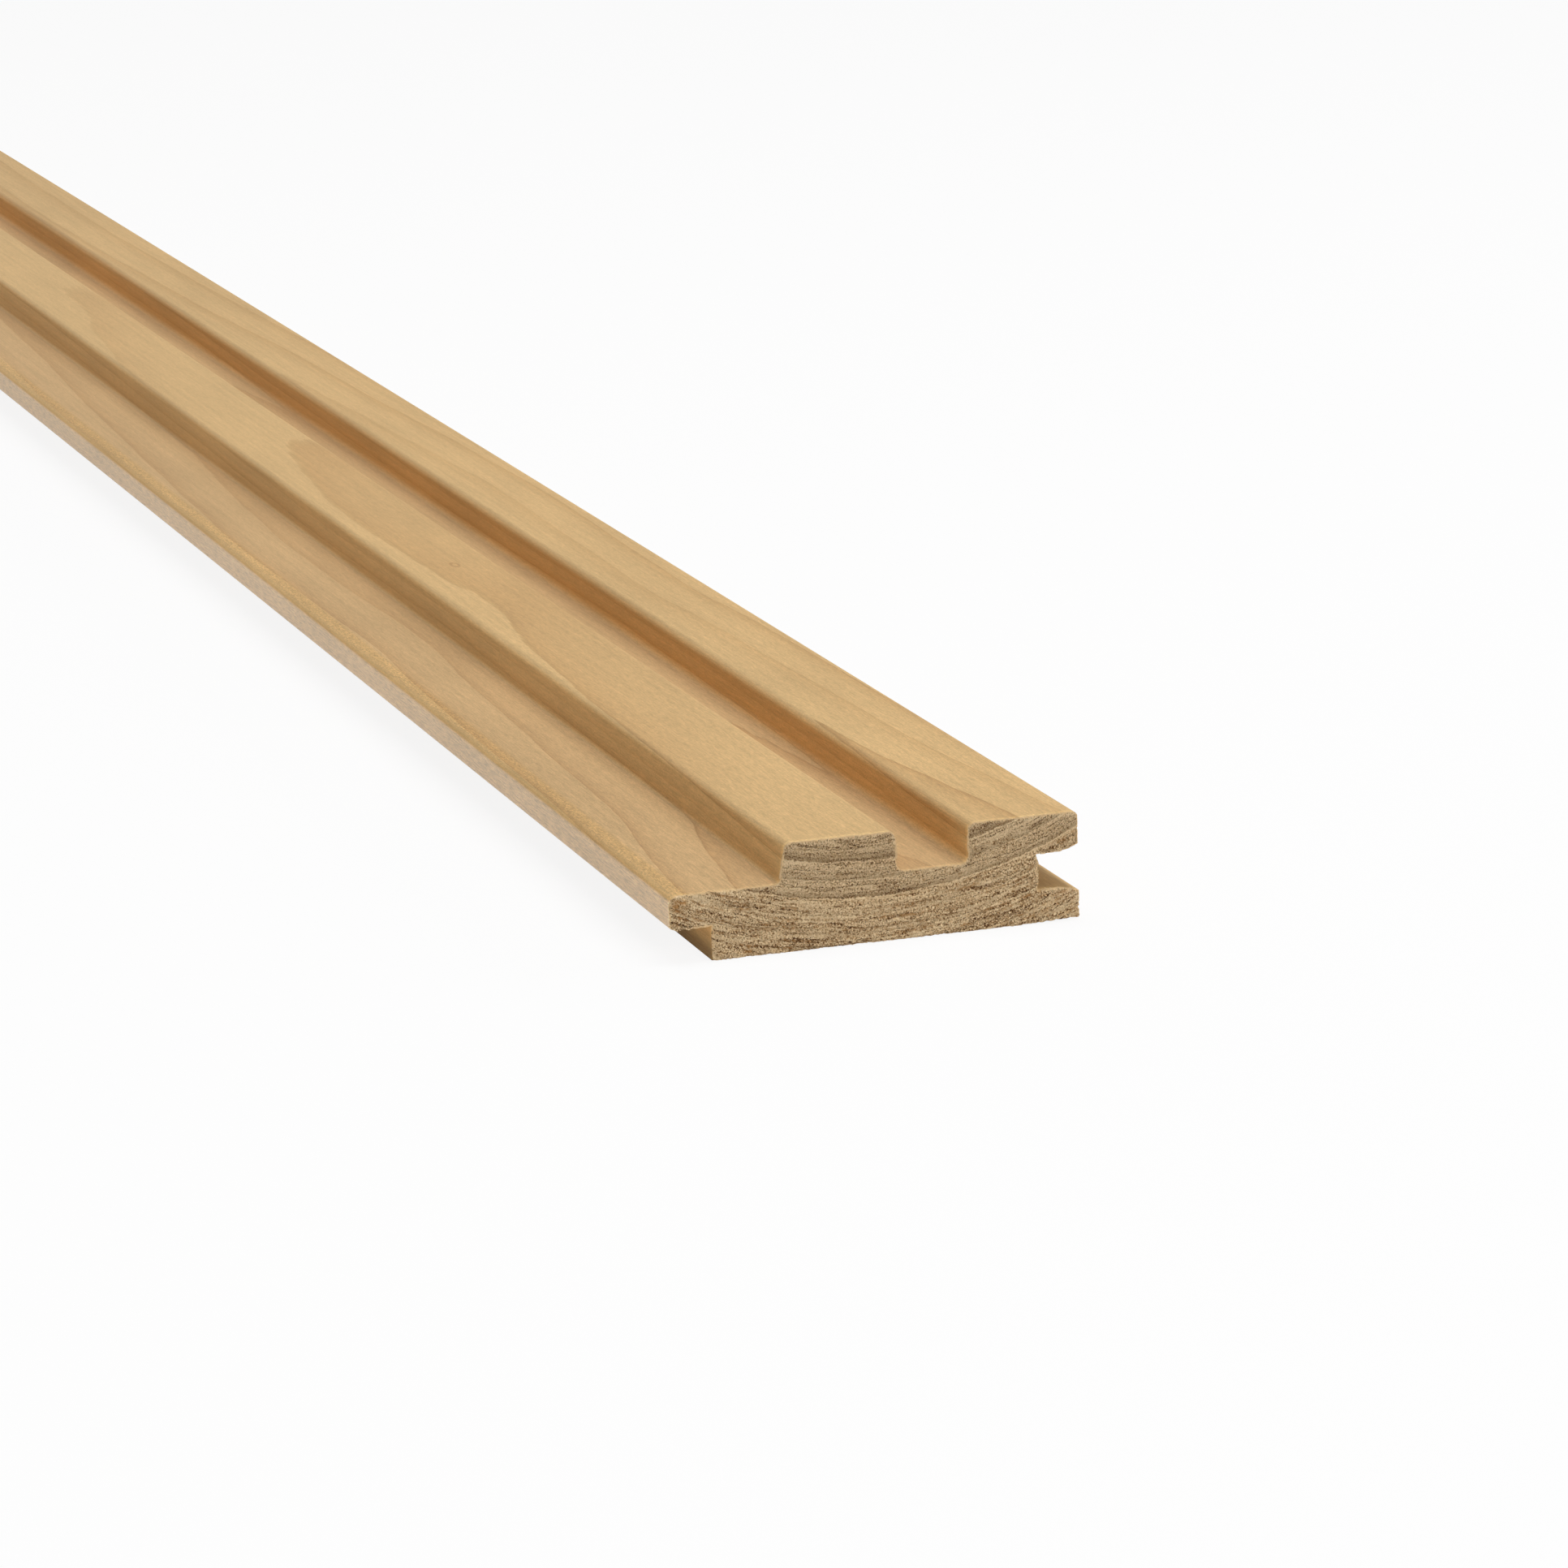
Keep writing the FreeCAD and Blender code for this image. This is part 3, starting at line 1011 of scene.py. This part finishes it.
        # Torn pits: the torn wood's own orange, with painted shade that deepens with the tearing.
        torn_pit_shade = graph.math("MULTIPLY", graph.product(torn, torn), self.pit_reach, clamp=True)
        colour = graph.blend(torn_pit_shade, graph.ramp(texture, self.tones), self.pit)
        reach = graph.line(openness, 0.0, 1.0, *self.late_reach)
        late = graph.product(wood.rings.outputs["Latewood"], reach)
        colour = graph.blend(late, colour, self.late, "MULTIPLY")
        # Crumbled rim: the torn fibres' own honey colour, with a painted highlight where the edges catch the
        # light.
        flakes = graph.noise(wood.place, self.flakes)
        honey = graph.blend(graph.line(flakes, *self.rim_change, smooth=True), self.rim_dark, self.rim)
        edge = graph.total(((flakes, -self.rim_ragged), (rim, 1.0)))
        crumbled = graph.product(graph.line(edge, *self.rim_fade, smooth=True), self.rim_reach)
        self._crumble(wood)
        return wood.finish(graph.blend(crumbled, colour, honey), texture, self.relief * MM, self.roughness,
                           self.gloss)

    def _texture(self, wood: WoodMaterial, torn: bpy.types.NodeSocket) -> bpy.types.NodeSocket:
        """Add up the texture's parts.

        Args:
            wood: The material under way.
            torn: How torn the wood is, from 0 to 1.

        Returns:
            The texture, from about 0 in the cracks to about 1 on the lightest crumbs.
        """
        graph = wood.graph
        rings = wood.rings.outputs
        grain = graph.add("ShaderNodeCombineXYZ", {0: rings["Round"], 2: rings["Radius"]}).outputs[0]
        sizes = {0: rings["Openness"], 2: graph.crumbs(grain, self.small_crumbs),
                 3: graph.crumbs(grain, self.large_crumbs)}
        crumbs = graph.add("ShaderNodeMix", sizes, data_type="FLOAT").outputs[0]
        seam = graph.noise(grain, self.seam)
        parts = [(graph.noise(grain, pattern), weight) for pattern, weight in (self.mottle, self.threads)]
        parts.append((crumbs, self.crumb_weight))
        parts.extend((self._marks(graph, grain, streak), streak.weight) for streak in self.lines)
        # Painted highlight on small ledges and painted shade in the cracks beside them.
        parts.extend((graph.band(seam, *band), weight) for band, weight in self.ledge_highlight_and_crack_shade)
        holes = graph.product(self._marks(graph, grain, self.holes), rings["Openness"])
        # Painted highlight on each year's early ridge, and painted shade where the end is torn deep.
        parts += [(holes, self.holes.weight), (rings["Early ridge"], self.ridge_highlight_weight),
                  (torn, self.torn_shade_weight)]
        return graph.total(parts, self.start)

    def _marks(self, graph: Graph, place: bpy.types.NodeSocket, streak: Streak) -> bpy.types.NodeSocket:
        """Mark where a streak's noise passes its threshold."""
        return graph.line(graph.noise(place, streak.grain), streak.none, streak.full, smooth=True)

    def _crumble(self, wood: WoodMaterial) -> None:
        """Break up the edges of the rings by looking them up at shifted places.

        Args:
            wood: The material under way.
        """
        graph = wood.graph
        shift = graph.noise(wood.place, self.shift)
        shift = graph.line(shift, 0.25, 0.75, -self.shift_reach, self.shift_reach)
        shifted = graph.add("ShaderNodeCombineXYZ", {2: shift}).outputs[0]
        inputs = {0: wood.place, 1: shifted}
        place = graph.add("ShaderNodeVectorMath", inputs, operation="ADD").outputs[0]
        graph.feed(wood.rings.inputs["Place"], place)


# Meshes


def to_object(mesh: bmesh.types.BMesh, name: str,
              materials: Sequence[bpy.types.Material]) -> bpy.types.Object:
    """Turn a finished mesh into an object that stands at the origin.

    Args:
        mesh: The mesh, which is freed.
        name: Name of the piece.
        materials: Its materials, in order of their slots.

    Returns:
        The new object.
    """
    data = bpy.data.meshes.new(name)
    mesh.to_mesh(data)
    mesh.free()
    for material in materials:
        data.materials.append(material)
    piece = bpy.data.objects.new(name, data)
    bpy.context.scene.collection.objects.link(piece)
    return piece


@dataclass(frozen=True)
class SawnRelief:
    """The uneven surface that the saw leaves on an end, in millimetres.

    Its ripples are laid out round the tree and outwards from its middle, apart from those of the rim,
    which are laid out across the board and upwards.

    Attributes:
        growth: How the board lies in the tree.
        end_shift: Shift of the ripples' seeds that gives each end its own.
        drift: Ripple that makes the rows wander.
        drift_reach: How far they wander at most.
        waves: Ripple of the broad waves.
        wave_depth: Depth of the broad waves.
        rows: Ripple of the torn rows along the rings.
        row_depth: Depth of these rows.
        streaks: Ripple of the streaks within them.
        crumbs: Ripple of the crumbs.
        crumb_depth: Depth of the crumbs.
        torn_weights: How much streaks, crumbs and rows count in how torn the wood is.
        torn_from: Sum of these from which it is torn.
        torn_contrast: How fast it is more torn above that.
        torn_close: How torn the close wood is, as a share of the open wood.
        pit_depth: Depth of the torn pits.
        usual_break: How far the rim is usually broken back, as a share of worn.
        breaks: Ripples that change this along the rim, with how much each counts.
        worn: How far the rim is broken back where it is fully broken.
        arris: How far the very edge is worn off everywhere.
        rim_chips: Ripple of the chips along the rim.
        rim_shift: Shift of their seed that gives each end its own.
        ragged: How far they break the rim in towards the board's middle.
        rim_width: Width of the broken rim.
        honey_from: Heights between which the rim gets its honey colour with its painted highlight, which is
            missing at the back, where the edge faces down.
        chips: Torn-out spots of the near end: place across, height and reach.
        chip_torn: How torn the wood is in the middle of such a spot, and how torn at most.
    """

    growth: Growth
    end_shift: float = 40.0
    drift: Ripple = Ripple(0.11, 0.2, 5.0)
    drift_reach: float = 0.5
    waves: Ripple = Ripple(0.05, 0.11)
    wave_depth: float = 0.10
    rows: Ripple = Ripple(0.07, 1.6, 9.0)
    row_depth: float = 0.32
    streaks: Ripple = Ripple(0.30, 2.0, 21.0)
    crumbs: Ripple = Ripple(1.3, 2.4, 27.0)
    crumb_depth: float = 0.10
    torn_weights: Triple = (0.6, 0.6, 0.8)
    torn_from: float = 0.16
    torn_contrast: float = 2.2
    torn_close: float = 0.10
    pit_depth: float = 0.55
    usual_break: float = 0.55
    breaks: tuple[tuple[Ripple, float], ...] = ((Ripple(0.7, 0.7, 33.0), 1.0), (Ripple(1.7, 1.7, 37.0), 0.9))
    worn: float = 0.40
    arris: float = 0.16
    rim_chips: Ripple = Ripple(1.4, 1.4)
    rim_shift: float = 55.0
    ragged: float = 0.15
    rim_width: float = 1.15
    honey_from: Pair = (0.45, 1.35)
    chips: tuple[Triple, ...] = (
        (-48.3, 13.6, 2.4), (-46.3, 14.4, 1.5), (-31.0, 0.6, 2.6))
    chip_torn: Pair = (1.3, 1.2)

    def depth_at(self, across: float, up: float, rim: float, end: End) -> Pair:
        """Work out how deep a point of a sawn end lies.

        Args:
            across: Place across the board.
            up: Height above the back.
            rim: Nearness to the rim, from 0 inside to 1 on it.
            end: Which end it is.

        Returns:
            The depth in millimetres, and how torn the wood is there, from 0 to about 1.
        """
        growth, shift = self.growth, self.end_shift * end.value
        lean = growth.lean_at(0.0 if end is End.NEAR else growth.lean[-1][0])
        radius, turn = growth.radius_at(across, up - lean), growth.turn_at(across, up)
        coarse = growth.coarseness_at(radius)
        radius += self.drift_reach * self.drift.at(turn, radius, shift)
        wave, row, streak, crumb = (ripple.at(turn, radius, shift) for ripple
                                    in (self.waves, self.rows, self.streaks, self.crumbs))
        torn = sum(weight * value for weight, value in zip(self.torn_weights, (streak, crumb, row)))
        torn = held((torn - self.torn_from) * self.torn_contrast)
        torn *= self.torn_close + (1.0 - self.torn_close) * coarse
        if end is End.NEAR:
            usual, most = self.chip_torn
            torn = min(torn + self._chipped(across, up) * (usual + crumb), most)
        broken = sum(weight * ripple.at(across, up, shift) for ripple, weight in self.breaks)
        depth = self.wave_depth * (wave + 0.7) + self.row_depth * coarse * max(row + 0.3, 0.0)
        depth += self.pit_depth * torn + self.crumb_depth * (crumb + 0.5)
        broken = max(self.usual_break + broken, 0.1)
        depth += self.worn * broken * rim ** 2 + self.arris * rim ** 4
        return max(depth, 0.0), torn * (1.0 - rim)

    def drawn_in(self, across: float, up: float, end: End) -> float:
        """How far the rim is broken in at one place, in millimetres."""
        chip = self.rim_chips.at(across, up, self.rim_shift * end.value) + 0.25
        return max(chip, 0.0) * self.ragged

    def honey_at(self, up: float) -> float:
        """How much of its honey colour and painted highlight the rim has at a height, from 0 to 1."""
        start, stop = self.honey_from
        return held((up - start) / (stop - start))

    def _chipped(self, across: float, up: float) -> float:
        """How near a place is to the middle of a torn-out spot, from 0 to 1."""
        return max(0.0, *(1.0 - math.hypot(across - aside, up - height) / reach
                          for aside, height, reach in self.chips))


@dataclass(frozen=True)
class Board:
    """The board itself: the moulded section run out to its length, with both sawn ends.

    Attributes:
        section: The moulded section.
        relief: Surface of the sawn ends.
        step: Width and height of the pieces that the ends are divided into, in metres.
        snap: Distance from a point within which a cut goes through it, in metres.
        round_segments: Number of flats in each rounding.
        near_steps: Distances from an end at which the length is divided, in metres.
        clear_of_rim: How far the first of these at least stays behind the torn rim, in metres.
        sharp_from: Angle between faces from which the edge between them is sharp.
    """

    section: Section
    relief: SawnRelief
    step: Pair = (0.30 * MM, 0.20 * MM)
    snap: float = 0.015 * MM
    round_segments: int = 8
    near_steps: tuple[float, ...] = (0.7 * MM, 2.2 * MM, 4.0 * MM)
    clear_of_rim: float = 0.15 * MM
    sharp_from: float = math.radians(20.0)

    def build(self, planed: bpy.types.Material, sawn: bpy.types.Material) -> bpy.types.Object:
        """Build and dress the board.

        Args:
            planed: Material of the planed faces.
            sawn: Material of the sawn ends.

        Returns:
            The board's object.
        """
        mesh = bmesh.new()
        self._draw(mesh)
        self._divide(mesh)
        self._run_out(mesh)
        bmesh.ops.recalc_face_normals(mesh, faces=mesh.faces[:])
        self._shade(mesh)
        for end in End:
            self._tear(mesh, end)
        piece = to_object(mesh, "moulded_board", (planed, sawn))
        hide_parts(NODE)
        return piece

    def _draw(self, mesh: bmesh.types.BMesh) -> None:
        """Draw the section as one face at the near end, and round its corners.

        Args:
            mesh: Mesh that it is drawn in.
        """
        corners = self.section.corners()
        places = [mesh.verts.new((corner.across, self.section.low.y, corner.up)) for corner in corners]
        mesh.faces.new(places)
        for radius in sorted({corner.radius for corner in corners if corner.radius}):
            rounded = [place for place, corner in zip(places, corners) if corner.radius == radius]
            bmesh.ops.bevel(mesh, geom=rounded, offset=radius, offset_type="OFFSET",
                            segments=self.round_segments, profile=0.5, affect="VERTICES", material=-1)

    def _divide(self, mesh: bmesh.types.BMesh) -> None:
        """Cut the section into small oblongs.

        Args:
            mesh: Mesh with the section.
        """
        low, high = self.section.low, self.section.high
        for axis, step in zip((0, 2), self.step):
            normal = Vector((float(axis == 0), 0.0, float(axis == 2)))
            count = round((high[axis] - low[axis]) / step)
            for number in range(1, count):
                point = low + normal * ((high[axis] - low[axis]) * number / count)
                geometry = [*mesh.verts, *mesh.edges, *mesh.faces]
                bmesh.ops.bisect_plane(mesh, geom=geometry, dist=self.snap, plane_co=point, plane_no=normal)

    def _run_out(self, mesh: bmesh.types.BMesh) -> None:
        """Extrude the section to the board's length, in short steps at both ends.

        Args:
            mesh: Mesh with the section.
        """
        length = self.section.high.y - self.section.low.y
        stops = [*self.near_steps, *(length - step for step in reversed(self.near_steps)), length]
        region = [*mesh.verts, *mesh.edges, *mesh.faces]
        done = 0.0
        for stop in stops:
            region = bmesh.ops.extrude_face_region(mesh, geom=region)["geom"]
            moved = [part for part in region if isinstance(part, bmesh.types.BMVert)]
            bmesh.ops.translate(mesh, vec=(0.0, stop - done, 0.0), verts=moved)
            done = stop

    def _shade(self, mesh: bmesh.types.BMesh) -> None:
        """Give the ends their material, and shade smoothly over the roundings alone.

        Args:
            mesh: The board's mesh.
        """
        for face in mesh.faces:
            face.smooth = True
            face.material_index = Face.SAWN if abs(face.normal.y) > 0.5 else Face.PLANED
        for edge in mesh.edges:
            edge.smooth = edge.calc_face_angle(0.0) < self.sharp_from

    def _tear(self, mesh: bmesh.types.BMesh, end: End) -> None:
        """Break the surface of a sawn end, always inwards.

        Args:
            mesh: The board's mesh.
            end: Which end.
        """
        relief, low = self.relief, self.section.low
        rim_layer, torn_layer = (mesh.verts.layers.float.get(name) or mesh.verts.layers.float.new(name)
                                 for name in (RIM, TORN))
        plane = low.y if end is End.NEAR else self.section.high.y
        surface = {point for point in mesh.verts if abs(point.co.y - plane) < self.snap}
        walls = {point: [face.normal for face in point.link_faces if face.material_index == Face.PLANED]
                 for point in surface}
        outline = kdtree.KDTree(len(surface))
        for index, point in enumerate(surface):
            if walls[point]:
                outline.insert(point.co, index)
        outline.balance()
        for point in surface:
            rim = max(1.0 - outline.find(point.co)[2] / MM / relief.rim_width, 0.0)
            across, up = point.co.x / MM, (point.co.z - low.z) / MM
            depth, torn = relief.depth_at(across, up, rim, end)
            if walls[point]:
                outward = sum(walls[point], Vector()).normalized()
                point.co -= outward * (relief.drawn_in(across, up, end) * MM)
                first = max(self.near_steps[0], depth * MM + self.clear_of_rim)
                for behind in {edge.other_vert(point) for edge in point.link_edges} - surface:
                    behind.co.y = plane - end.value * first
            point.co.y = plane - end.value * depth * MM
            # The rim's honey colour, partly painted highlight, is held off along the back edge.
            point[rim_layer] = rim * relief.honey_at(up)
            point[torn_layer] = torn


@dataclass(frozen=True)
class Burr:
    """A ragged run of torn fibres that the saw left standing along one rim of an end.

    Lengths are in millimetres, from the middle of the board's back.

    Attributes:
        start: Where it starts, across and up.
        stop: Where it ends, across and up.
        away: The way that the fibres stand, across and up.
        height: How far the longest of them stand.
        honey: How much it has the colour of the crumbled rim, with its painted highlight, from 0 to 1.
        end: Which end it is on.
        root: How deep it is rooted in the wood.
        thickness: Thickness along the board.
        back: How far behind the end it stands.
        usual: Usual reach of the fibres, as a share of the longest.
        ripples: Ripples along it that make the fibres longer and shorter.
        ragged: How strongly they do.
        taper: Length over which it dies out at both of its ends.
        sway: Ripple along it that bends the fibres forwards and back.
        sway_reach: How far it bends them, as a share of how far behind the end they stand.
    """

    start: Pair
    stop: Pair
    away: Pair
    height: float
    honey: float = 1.0
    end: End = End.NEAR
    root: float = 0.35
    thickness: float = 0.3
    back: float = 0.35
    usual: float = 0.45
    ripples: tuple[Ripple, ...] = (Ripple(0.6, 0.0), Ripple(2.3, 0.0, 3.0))
    ragged: float = 0.9
    taper: float = 0.7
    sway: Ripple = Ripple(1.1, 0.0, 7.0)
    sway_reach: float = 0.4

    def rise(self, along: float, length: float, seed: float) -> float:
        """How far the fibres reach past the root line at one place.

        Args:
            along: Distance from the burr's start.
            length: Length of the whole burr.
            seed: Number that gives the burr a ragged edge of its own.

        Returns:
            The reach, in millimetres.
        """
        rough = self.usual + sum(self.ragged * ripple.at(along, 0.0, seed) for ripple in self.ripples)
        return self.height * held(rough) * held(min(along, length - along) / self.taper)

    def bend(self, along: float, seed: float) -> float:
        """How far the fibres are bent along the board at one place, in millimetres."""
        return self.sway_reach * self.sway.at(along, 0.0, seed) * self.back * self.end.value


@dataclass(frozen=True)
class BurrMaker:
    """Makes the burrs of both ends as one piece.

    Attributes:
        section: The moulded section, which the burrs stand on.
        burrs: The burrs.
        pitch: Distance between the points of their ragged edge, in millimetres.
        seed_step: Difference between the seeds of one burr and the next.
    """

    section: Section
    burrs: tuple[Burr, ...]
    pitch: float = 0.14
    seed_step: float = 13.0

    def build(self, material: bpy.types.Material) -> bpy.types.Object:
        """Build and dress the burrs.

        Args:
            material: Material of the sawn wood.

        Returns:
            The burrs' object.
        """
        mesh = bmesh.new()
        for name in (RIM, TORN):
            mesh.verts.layers.float.new(name)
        for number, burr in enumerate(self.burrs):
            self._add(mesh, burr, self.seed_step * number)
        bmesh.ops.recalc_face_normals(mesh, faces=mesh.faces[:])
        piece = to_object(mesh, "torn_fibres", (material,))
        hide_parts(NODE)
        return piece

    def _add(self, mesh: bmesh.types.BMesh, burr: Burr, seed: float) -> None:
        """Grow one burr from its root line.

        Args:
            mesh: Mesh that it is added to.
            burr: The burr.
            seed: Number that gives it a ragged edge of its own.
        """
        start, stop, away = (Vector((across, 0.0, up)) for across, up in (burr.start, burr.stop, burr.away))
        length = (stop - start).length
        count = max(round(length / self.pitch), 2)
        plane = self.section.low.y if burr.end is End.NEAR else self.section.high.y
        shift = Vector((0.0, plane / MM - burr.end.value * burr.back, 0.0)) - away * burr.root
        roots = [mesh.verts.new((start.lerp(stop, step / count) + shift) * MM) for step in range(count + 1)]
        edges = [mesh.edges.new(pair) for pair in zip(roots, roots[1:])]
        made = bmesh.ops.extrude_edge_only(mesh, edges=edges)["geom"]
        for top in (part for part in made if isinstance(part, bmesh.types.BMVert)):
            along = (top.co / MM - start).dot((stop - start).normalized())
            bend = Vector((0.0, burr.bend(along, seed), 0.0))
            top.co += (away * (burr.root + burr.rise(along, length, seed)) + bend) * MM
        skin = [part for part in made if isinstance(part, bmesh.types.BMFace)]
        bmesh.ops.recalc_face_normals(mesh, faces=skin)
        walls = bmesh.ops.solidify(mesh, geom=skin, thickness=burr.thickness * MM)["geom"]
        rim = mesh.verts.layers.float[RIM]
        for face in (part for part in (*walls, *skin) if isinstance(part, bmesh.types.BMFace)):
            for point in face.verts:
                point[rim] = burr.honey


# Surroundings


@dataclass(frozen=True)
class Lamp:
    """A soft studio lamp.

    Attributes:
        name: The lamp's name.
        place: Where it stands, in metres.
        target: Point that it faces.
        size: Width and height of its panel.
        power: Power in watts.
    """

    name: str
    place: Triple
    target: Triple
    size: Pair
    power: float

    def build(self) -> bpy.types.Object:
        """Set the lamp up.

        Returns:
            The lamp's object.
        """
        data = bpy.data.lights.new(self.name, "AREA")
        data.shape = "RECTANGLE"
        data.size, data.size_y = self.size
        data.energy = self.power
        lamp = bpy.data.objects.new(self.name, data)
        lamp.location = self.place
        facing = Vector(self.target) - Vector(self.place)
        lamp.rotation_euler = facing.to_track_quat("-Z", "Y").to_euler()
        bpy.context.scene.collection.objects.link(lamp)
        return lamp


@dataclass(frozen=True)
class Studio:
    """The pale floor, the even surroundings and the lamps.

    Attributes:
        floor_reach: How far the floor reaches from the board's middle, in metres.
        floor_gap: How far it lies below the board's back, in metres.
        floor_colour: The floor's colour.
        floor_roughness: Its roughness.
        floor_glow: Share of white in how it is seen, the rest showing its light and shadow.
        sky: Strength of the light from all around.
        lamps: The lamps.
    """

    floor_reach: float = 12.0
    floor_gap: float = 0.1 * MM
    floor_colour: Colour = (0.94, 0.94, 0.94, 1.0)
    floor_roughness: float = 0.9
    floor_glow: float = 0.88
    sky: float = 0.18
    lamps: tuple[Lamp, ...] = (
        Lamp("key", (0.5, -0.9, 3.2), (0.1, -0.6, 0.0), (1.8, 3.6), 66.0),
        Lamp("front_fill", (0.4, -4.6, 1.6), (0.0, -0.9, 0.0), (2.4, 1.4), 80.0),
        Lamp("right_fill", (3.4, -0.4, 1.15), (0.0, -0.6, 0.0), (2.6, 0.8), 26.0),
        Lamp("back_fill", (-0.4, 4.6, 0.8), (0.0, 0.9, 0.0), (2.4, 1.0), 32.0),
    )

    def build(self) -> None:
        """Set up the floor, the surroundings and the lamps."""
        self._floor()
        self._surroundings()
        for lamp in self.lamps:
            lamp.build()

    def _seen(self, graph: Graph) -> bpy.types.NodeSocket:
        """Add a mask of the rays on which the surroundings show white.

        Args:
            graph: Graph of the floor or of the surroundings.

        Returns:
            The mask.
        """
        path = graph.add("ShaderNodeLightPath")
        seen = graph.math("MAXIMUM", path.outputs["Is Camera Ray"], path.outputs["Is Glossy Ray"])
        return graph.math("MAXIMUM", seen, path.outputs["Is Transmission Ray"])

    def _floor(self) -> None:
        """Lay the floor, which keeps the board's shadow."""
        mesh = bmesh.new()
        bmesh.ops.create_grid(mesh, x_segments=1, y_segments=1, size=self.floor_reach)
        bmesh.ops.translate(mesh, vec=(0.0, 0.0, -self.floor_gap), verts=mesh.verts[:])
        material = bpy.data.materials.new("floor")
        material.use_nodes = True
        graph = Graph(material.node_tree)
        shader = material.node_tree.nodes["Principled BSDF"]
        shader.inputs["Base Color"].default_value = self.floor_colour
        shader.inputs["Roughness"].default_value = self.floor_roughness
        shader.inputs["Specular IOR Level"].default_value = 0.0
        glow = graph.add("ShaderNodeEmission", {"Color": WHITE, "Strength": 1.0})
        share = graph.math("MULTIPLY", self._seen(graph), self.floor_glow)
        mixed = graph.add("ShaderNodeMixShader", {0: share, 1: shader.outputs[0], 2: glow.outputs[0]})
        graph.feed(material.node_tree.nodes["Material Output"].inputs["Surface"], mixed.outputs[0])
        to_object(mesh, "floor", (material,))

    def _surroundings(self) -> None:
        """Give the surroundings a dim even light that is seen as white."""
        world = bpy.data.worlds.new("studio")
        world.use_nodes = True
        bpy.context.scene.world = world
        graph = Graph(world.node_tree)
        dim = world.node_tree.nodes["Background"]
        dim.inputs["Color"].default_value = WHITE
        dim.inputs["Strength"].default_value = self.sky
        white = graph.add("ShaderNodeBackground", {"Color": WHITE, "Strength": 1.0})
        shaders = {0: self._seen(graph), 1: dim.outputs[0], 2: white.outputs[0]}
        mixed = graph.add("ShaderNodeMixShader", shaders)
        graph.feed(world.node_tree.nodes["World Output"].inputs["Surface"], mixed.outputs[0])


@dataclass(frozen=True)
class Viewpoint:
    """The camera, at the height and angle from which the board is looked at.

    Attributes:
        place: Where it stands, in metres.
        right: The way that the picture's right points.
        up: The way that its top points.
        lens: Focal length, in millimetres.
        sensor: Width of the sensor, in millimetres.
        clip: Nearest and farthest distance that is seen, in metres.
    """

    place: Triple = (-0.4325, -2.1898, 0.3674)
    right: Triple = (0.95004, -0.31056, -0.03122)
    up: Triple = (0.10192, 0.21412, 0.97148)
    lens: float = 139.75
    sensor: float = 36.0
    clip: Pair = (0.01, 100.0)

    def build(self) -> bpy.types.Object:
        """Set the camera up as the scene's camera.

        Returns:
            The camera's object.
        """
        data = bpy.data.cameras.new("camera")
        data.lens = self.lens
        data.sensor_width = self.sensor
        data.clip_start, data.clip_end = self.clip
        camera = bpy.data.objects.new("camera", data)
        right = Vector(self.right).normalized()
        back = right.cross(Vector(self.up)).normalized()
        turned = Matrix((right, back.cross(right), back)).transposed()
        camera.matrix_world = Matrix.Translation(self.place) @ turned.to_4x4()
        bpy.context.scene.collection.objects.link(camera)
        bpy.context.scene.camera = camera
        return camera


BURRS: tuple[Burr, ...] = (
    # A lower honey gives a burr less of the rim's painted highlight; it is lowest where a burr faces down or
    # lies under the tongue or in the groove.
    Burr((-49.3, 8.5), (-44.4, 8.3), (0.0, -1.0), 0.55, honey=0.0, back=0.22),
    Burr((-44.6, 8.3), (-40.3, 8.3), (0.0, -1.0), 0.2),
    Burr((5.2, 19.4), (5.2, 23.8), (1.0, 0.0), 0.2),
    Burr((22.7, 19.0), (22.7, 23.2), (-1.0, 0.0), 0.2),
    Burr((39.7, 9.0), (39.7, 15.5), (1.0, 0.0), 0.4, honey=0.7),
    Burr((40.5, 8.1), (47.0, 7.9), (0.0, 1.0), 0.4, honey=0.8),
    Burr((-23.4, 17.6), (-22.2, 24.0), (-0.98, 0.2), 0.16),
    Burr((40.5, 16.6), (45.5, 17.3), (0.0, -1.0), 0.2, honey=0.5),
    Burr((-40.0, 1.0), (-40.0, 7.0), (-1.0, 0.0), 0.2, honey=0.6),
    Burr((-47.0, 8.3), (-41.5, 8.3), (0.0, -1.0), 0.4, honey=0.5, end=End.FAR),
    Burr((39.7, 9.5), (39.7, 15.0), (1.0, 0.0), 0.3, end=End.FAR),
    Burr((5.2, 18.8), (5.2, 23.2), (1.0, 0.0), 0.25, end=End.FAR),
)


def main() -> None:
    """Build the board and its surroundings."""
    logging.basicConfig(level=logging.INFO, format="%(name)s: %(message)s")
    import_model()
    growth = Growth()
    rings, fibres = growth_rings(growth), wood_fibres()
    section = Section(*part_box(NODE))
    planed, sawn = PlanedFinish().build(rings, fibres), SawnFinish().build(rings, fibres)
    board = Board(section, SawnRelief(growth))
    torn = BurrMaker(section, BURRS)
    for piece in (board.build(planed, sawn), torn.build(sawn)):
        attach(piece, BODY)
        LOG.info("%s: %d faces", piece.name, len(piece.data.polygons))
    Studio().build()
    Viewpoint().build()
    bpy.context.scene.view_settings.view_transform = "Standard"


if __name__ == "__main__":
    main()
